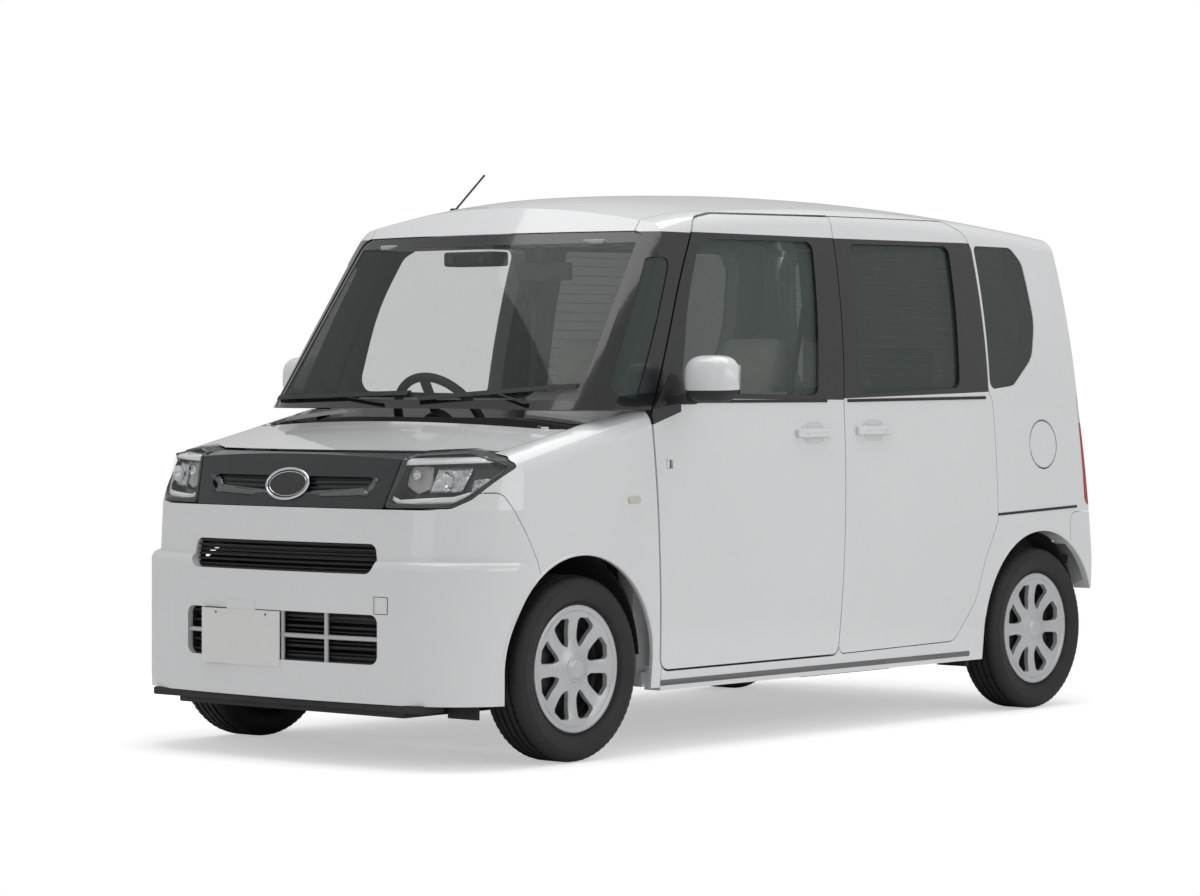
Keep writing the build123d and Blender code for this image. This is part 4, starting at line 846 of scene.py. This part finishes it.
class WAGON_OT_trim(bpy.types.Operator):
    """Adds the arch lips, slide rails, handle scoops as patches of painted shade, window mouldings, tow lid,
    sill lip and undertray
    """

    bl_idname = "wagon.trim"
    bl_label = "Add Trim"

    def execute(self, context):
        for side, word in SIDES:
            rail = [(-1048, 676, 3), (-1540, 692, 3), (-1540, 701, 3), (-1048, 685, 3)]
            skin("slide_rail_" + word, rail, word, ("body_sides",), "matte", "body", 0.0012, 0.002, 0.04)
            door = "front_door_" + word
            spots = (("front", -11, 968, door, door), ("slide", -336, 974, "body", "sliding_doors"))
            for name, x, z, rider, node in spots:
                # Each handle recess gets a thin patch of darker body paint over the door's surface: painted
                # shade
                shaded_scoop = box_of(x - 58, x + 52, z - 34, z + 34, 30)
                skin(f"scoop_{name}_{word}", shaded_scoop, word, (node,), "shaded_scoop", rider, 0.0005, 0.0005, 0.02)
            for name, rider, node, x0, x1, rise in (
                    ("front", door, door, -95, 640, 0),
                    ("slide", "body", "sliding_doors", -1000, -205, 8)):
                strip = [(x0, 1066 + rise, 1), (x1, 1066, 1), (x1, 1076, 1), (x0, 1076 + rise, 1)]
                skin(f"moulding_{name}_{word}", strip, word, (node,), "matte", rider, 0.0022, 0.003, 0.05)
            sill = box_of(757, -900, 205, 222, 4)
            skin("sill_lip_" + word, sill, word, ("body_sides",), "undersill", "body", 0.0015, 0.002, 0.06)
            for name, axle, nodes, low, high in (
                    ("front", FRONT_AXLE, ("front_fenders", "front_bumper", "body_sides"), 8, 172),
                    ("rear", REAR_AXLE, ("body_sides", "rear_bumper", "sliding_doors"), 10, 170)):
                line = []
                for i in range(61):
                    a = math.radians(low + (high - low) * i / 60)
                    x, z = axle + ARCH_RADIUS * math.cos(a), WHEEL_HEIGHT + ARCH_RADIUS * math.sin(a)
                    found = cast(tree_of(*nodes), word, x, z)
                    if found and abs(found[0].y) > 0.60:
                        line.append(found[0] + Vector((0, -0.0022 * side, 0)))
                tube(f"arch_lip_{name}_{word}", line, 0.0052, "paint", "body", 8)
        tow = box_of(383, 435, 452, 504, 5)
        skin("tow_lid_edge", tow, "front", ("front_bumper",), "matte", "body", 0.0004, 0.0006, 0.02)
        inner = box_of(385, 433, 454, 502, 4)
        skin("tow_lid", inner, "front", ("front_bumper",), "paint", "body", 0.0010, 0.0008, 0.02)
        slab("undertray", (1180, -470, 150), (1640, 470, 176), "matte", "body", 0.006)
        slab("chin", (1560, -560, 168), (1666, 560, 192), "matte", "body", 0.008)
        for side, word in SIDES:
            sided_slab("deflector_" + word, side, (1452, 480, 140), (1462, 600, 215), "matte", "body", 0.003)
            sided_slab("rear_flap_" + word, side, (-1010, 520, 160), (-990, 640, 240), "matte", "body", 0.003)
        return {"FINISHED"}


class WAGON_OT_cabin(bpy.types.Operator):
    """Hangs the inner mirror, the camera pod and the sun visors, and adds the belts"""

    bl_idname = "wagon.cabin"
    bl_label = "Dress the Cabin"

    def execute(self, context):
        top = cast(tree_of("windscreen"), "front", 0.0, 1.535)[0].x / MM
        slab("camera_pod", (top - 95, -150, 1496), (top - 12, 60, 1542), "matte", "body", 0.012)
        for k, y in enumerate((-110, 20)):
            slab(f"camera_eye_{k}", (top - 16, y - 12, 1505), (top - 4, y + 12, 1525), "gloss", "body", 0.004)
        slab("mirror_stem", (top - 120, 165, 1498), (top - 96, 190, 1560), "cabin", "body", 0.006)
        slab("inner_mirror", (top - 138, 70, 1448), (top - 112, 290, 1506), "cabin", "body", 0.010)
        for side, word in SIDES:
            low, high = (top - 190, 90, 1556), (top - 60, 470, 1572)
            sided_slab("visor_" + word, side, low, high, "lining", "body", 0.006)
        for side, word in SIDES:
            belt = ((-150, 592, 1430), (-120, 560, 1180), (-60, 555, 900), (-30, 560, 600))
            points = [Vector((x, side * y, z)) * MM for x, y, z in belt]
            tube("belt_" + word, points, 0.010, "cabin", "body", 8)
        return {"FINISHED"}


def islands_of(bm):
    """The vertex numbers of each connected part of a mesh."""
    islands, seen = [], set()
    for start in bm.verts:
        if start in seen:
            continue
        stack, found = [start], set()
        seen.add(start)
        while stack:
            vert = stack.pop()
            found.add(vert.index)
            for edge in vert.link_edges:
                other = edge.other_vert(vert)
                if other not in seen:
                    seen.add(other)
                    stack.append(other)
        islands.append(found)
    return islands


class WAGON_OT_seats(bpy.types.Operator):
    """Swells the seats as upholstery by a cloth simulation"""

    bl_idname = "wagon.seats"
    bl_label = "Upholster Seats"

    def execute(self, context):
        for node in ("front_seats", "rear_seat"):
            bm = bmesh.new()
            bm.from_mesh(NODES[node].data)
            bmesh.ops.remove_doubles(bm, verts=bm.verts, dist=1e-5)
            bm.verts.index_update()
            spots = [v.co.copy() for v in bm.verts]
            joined = [[v.index for v in f.verts] for f in bm.faces]
            for number, keep in enumerate(islands_of(bm)):
                order = {old: new for new, old in enumerate(sorted(keep))}
                faces = [[order[i] for i in f] for f in joined if f[0] in keep]
                self.pad(context, f"{node}_pad_{number}", [spots[i] for i in order], faces)
            bm.free()
            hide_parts(node)
        return {"FINISHED"}

    def pad(self, context, name, points, faces):
        """One cushion with an even skin, swollen and smoothed."""
        puff = context.scene.wagon_sizes.puff
        mesh = bpy.data.meshes.new(name)
        mesh.from_pydata(points, [], faces)
        pad = bpy.data.objects.new(name, mesh)
        context.scene.collection.objects.link(pad)
        mesh.materials.append(FINISHES["cloth"])
        remesh = pad.modifiers.new("Even skin", "REMESH")
        remesh.mode = "VOXEL"
        remesh.voxel_size = 0.010
        self.bake(context, pad)
        rest = [v.co.copy() for v in pad.data.vertices]
        cloth = pad.modifiers.new("Cloth", "CLOTH")
        settings, cache = cloth.settings, cloth.point_cache
        settings.use_pressure = True
        settings.uniform_pressure_force = 4.0
        settings.effector_weights.gravity = 0.0
        settings.quality = 4
        cache.frame_start, cache.frame_end = 1, 12
        for at in range(1, 13):
            context.scene.frame_set(at)
            context.view_layer.update()
        self.bake(context, pad)
        context.scene.frame_set(1)
        for vert, was in zip(pad.data.vertices, rest):
            move = vert.co - was
            if move.length > puff:
                vert.co = was + move.normalized() * puff
        smooth = pad.modifiers.new("Smooth", "SMOOTH")
        smooth.iterations, smooth.factor = 6, 0.6
        self.bake(context, pad)
        for polygon in pad.data.polygons:
            polygon.use_smooth = True
        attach(pad, "body")
        return pad

    def bake(self, context, pad):
        """Turns the modified shape into the piece's own mesh."""
        graph_now = context.evaluated_depsgraph_get()
        made = bpy.data.meshes.new_from_object(pad.evaluated_get(graph_now))
        old = pad.data
        pad.modifiers.clear()
        pad.data = made
        bpy.data.meshes.remove(old)


class WAGON_OT_stage(bpy.types.Operator):
    """Lays the pale floor and sets the lights, the world and the camera"""

    bl_idname = "wagon.stage"
    bl_label = "Set the Stage"

    def execute(self, context):
        scene = context.scene
        scene.view_settings.view_transform = "Standard"
        mesh = bpy.data.meshes.new("floor")
        size = 60
        edge = [(-size, -size, 0), (size, -size, 0), (size, size, 0), (-size, size, 0)]
        mesh.from_pydata(edge, [], [(0, 1, 2, 3)])
        floor = bpy.data.objects.new("floor", mesh)
        scene.collection.objects.link(floor)
        material, tree = graph("studio_floor")
        join = tree.links.new
        base = put(tree, "ShaderNodeBsdfDiffuse", Color=(0.90, 0.90, 0.90, 1))
        glow = put(tree, "ShaderNodeEmission", Strength=1.0)
        path = put(tree, "ShaderNodeLightPath")
        seen = maths(tree, "MULTIPLY", path.outputs["Is Camera Ray"], 0.46)
        add = tree.nodes.new("ShaderNodeAddShader")
        place = put(tree, "ShaderNodeTexCoord").outputs["Object"]
        away = socketed(tree, "ShaderNodeVectorMath", "LENGTH", place).outputs["Value"]
        fade = put(tree, "ShaderNodeMapRange", interpolation_type="SMOOTHSTEP", From_Min=2.3, From_Max=3.6)
        join(away, fade.inputs["Value"])
        mix = tree.nodes.new("ShaderNodeMixShader")
        join(seen, glow.inputs["Strength"])
        join(base.outputs[0], add.inputs[0])
        join(glow.outputs[0], add.inputs[1])
        join(fade.outputs["Result"], mix.inputs[0])
        join(add.outputs[0], mix.inputs[1])
        join(tree.nodes.new("ShaderNodeBsdfTransparent").outputs[0], mix.inputs[2])
        finish_of(tree, mix.outputs[0])
        mesh.materials.append(material)

        world = bpy.data.worlds.new("studio")
        scene.world = world
        world.use_nodes = True
        tree = world.node_tree
        join = tree.links.new
        tree.nodes.clear()
        sky = put(tree, "ShaderNodeBackground", Color=(1, 1, 1, 1))
        path = put(tree, "ShaderNodeLightPath")
        seen = maths(tree, "MAXIMUM", path.outputs["Is Camera Ray"], path.outputs["Is Transmission Ray"])
        spread = put(tree, "ShaderNodeMapRange", To_Min=0.50, To_Max=1.0)
        join(seen, spread.inputs["Value"])
        join(spread.outputs["Result"], sky.inputs["Strength"])
        out = tree.nodes.new("ShaderNodeOutputWorld")
        join(sky.outputs[0], out.inputs["Surface"])

        lamps = (
            ("overhead", (0.2, 0.2, 5.0), (0.1, 0.0, 0.8), (6.0, 3.6), 120),
            ("left_wall", (-0.6, 7.0, 2.6), (-0.2, 0.0, 0.9), (7.0, 2.6), 72),
            ("nose_wall", (7.0, 0.6, 2.2), (1.0, 0.0, 0.8), (2.4, 3.0), 12),
        )
        for name, spot, aim, extent, power in lamps:
            light = bpy.data.lights.new(name, "AREA")
            light.shape = "RECTANGLE"
            light.size, light.size_y = extent
            light.energy = power
            obj = bpy.data.objects.new(name, light)
            obj.location = spot
            obj.rotation_euler = (Vector(aim) - Vector(spot)).to_track_quat("-Z", "Y").to_euler()
            scene.collection.objects.link(obj)

        camera = bpy.data.cameras.new("photo_camera")
        camera.sensor_width = 36
        camera.lens = scene.wagon_sizes.lens
        camera.shift_y = -15.41 / 1200
        camera.clip_end = 200
        obj = bpy.data.objects.new("photo_camera", camera)
        scene.collection.objects.link(obj)
        yaw, pitch, roll = (math.radians(angle) for angle in (CAMERA_YAW, CAMERA_PITCH, CAMERA_ROLL))
        ahead = Vector((math.cos(pitch) * math.cos(yaw), math.cos(pitch) * math.sin(yaw), math.sin(pitch)))
        right = ahead.cross(Vector((0, 0, 1))).normalized()
        up = right.cross(ahead)
        right, up = right * math.cos(roll) + up * math.sin(roll), up * math.cos(roll) - right * math.sin(roll)
        turn = Matrix((right, up, -ahead)).transposed().to_4x4()
        obj.matrix_world = Matrix.Translation(Vector(CAMERA_SPOT)) @ turn
        scene.camera = obj
        return {"FINISHED"}


STEPS = (
    WAGON_OT_paintwork, WAGON_OT_tyres, WAGON_OT_wheels, WAGON_OT_lamps, WAGON_OT_grille, WAGON_OT_mirrors,
    WAGON_OT_trim, WAGON_OT_cabin, WAGON_OT_seats, WAGON_OT_stage,
)


class WAGON_PT_dresser(bpy.types.Panel):
    """Lists the wagon's settings and steps"""

    bl_idname = "WAGON_PT_dresser"
    bl_label = "Tall Wagon"
    bl_space_type = "VIEW_3D"
    bl_region_type = "UI"
    bl_category = "Tall Wagon"

    def draw(self, context):
        for group in (context.scene.wagon_colours, context.scene.wagon_sizes):
            for name in group.__annotations__:
                self.layout.prop(group, name)
        for step in STEPS:
            self.layout.operator(step.bl_idname)


CLASSES = (WagonColours, WagonSizes, *STEPS, WAGON_PT_dresser)


def register():
    for cls in CLASSES:
        bpy.utils.register_class(cls)
    bpy.types.Scene.wagon_colours = PointerProperty(type=WagonColours)
    bpy.types.Scene.wagon_sizes = PointerProperty(type=WagonSizes)


def unregister():
    del bpy.types.Scene.wagon_sizes
    del bpy.types.Scene.wagon_colours
    for cls in reversed(CLASSES):
        bpy.utils.unregister_class(cls)


def main():
    register()
    for step in STEPS:
        area, name = step.bl_idname.split(".")
        if getattr(getattr(bpy.ops, area), name)() != {"FINISHED"}:
            raise RuntimeError(f"{step.bl_label} did not finish")


if __name__ == "__main__":
    main()
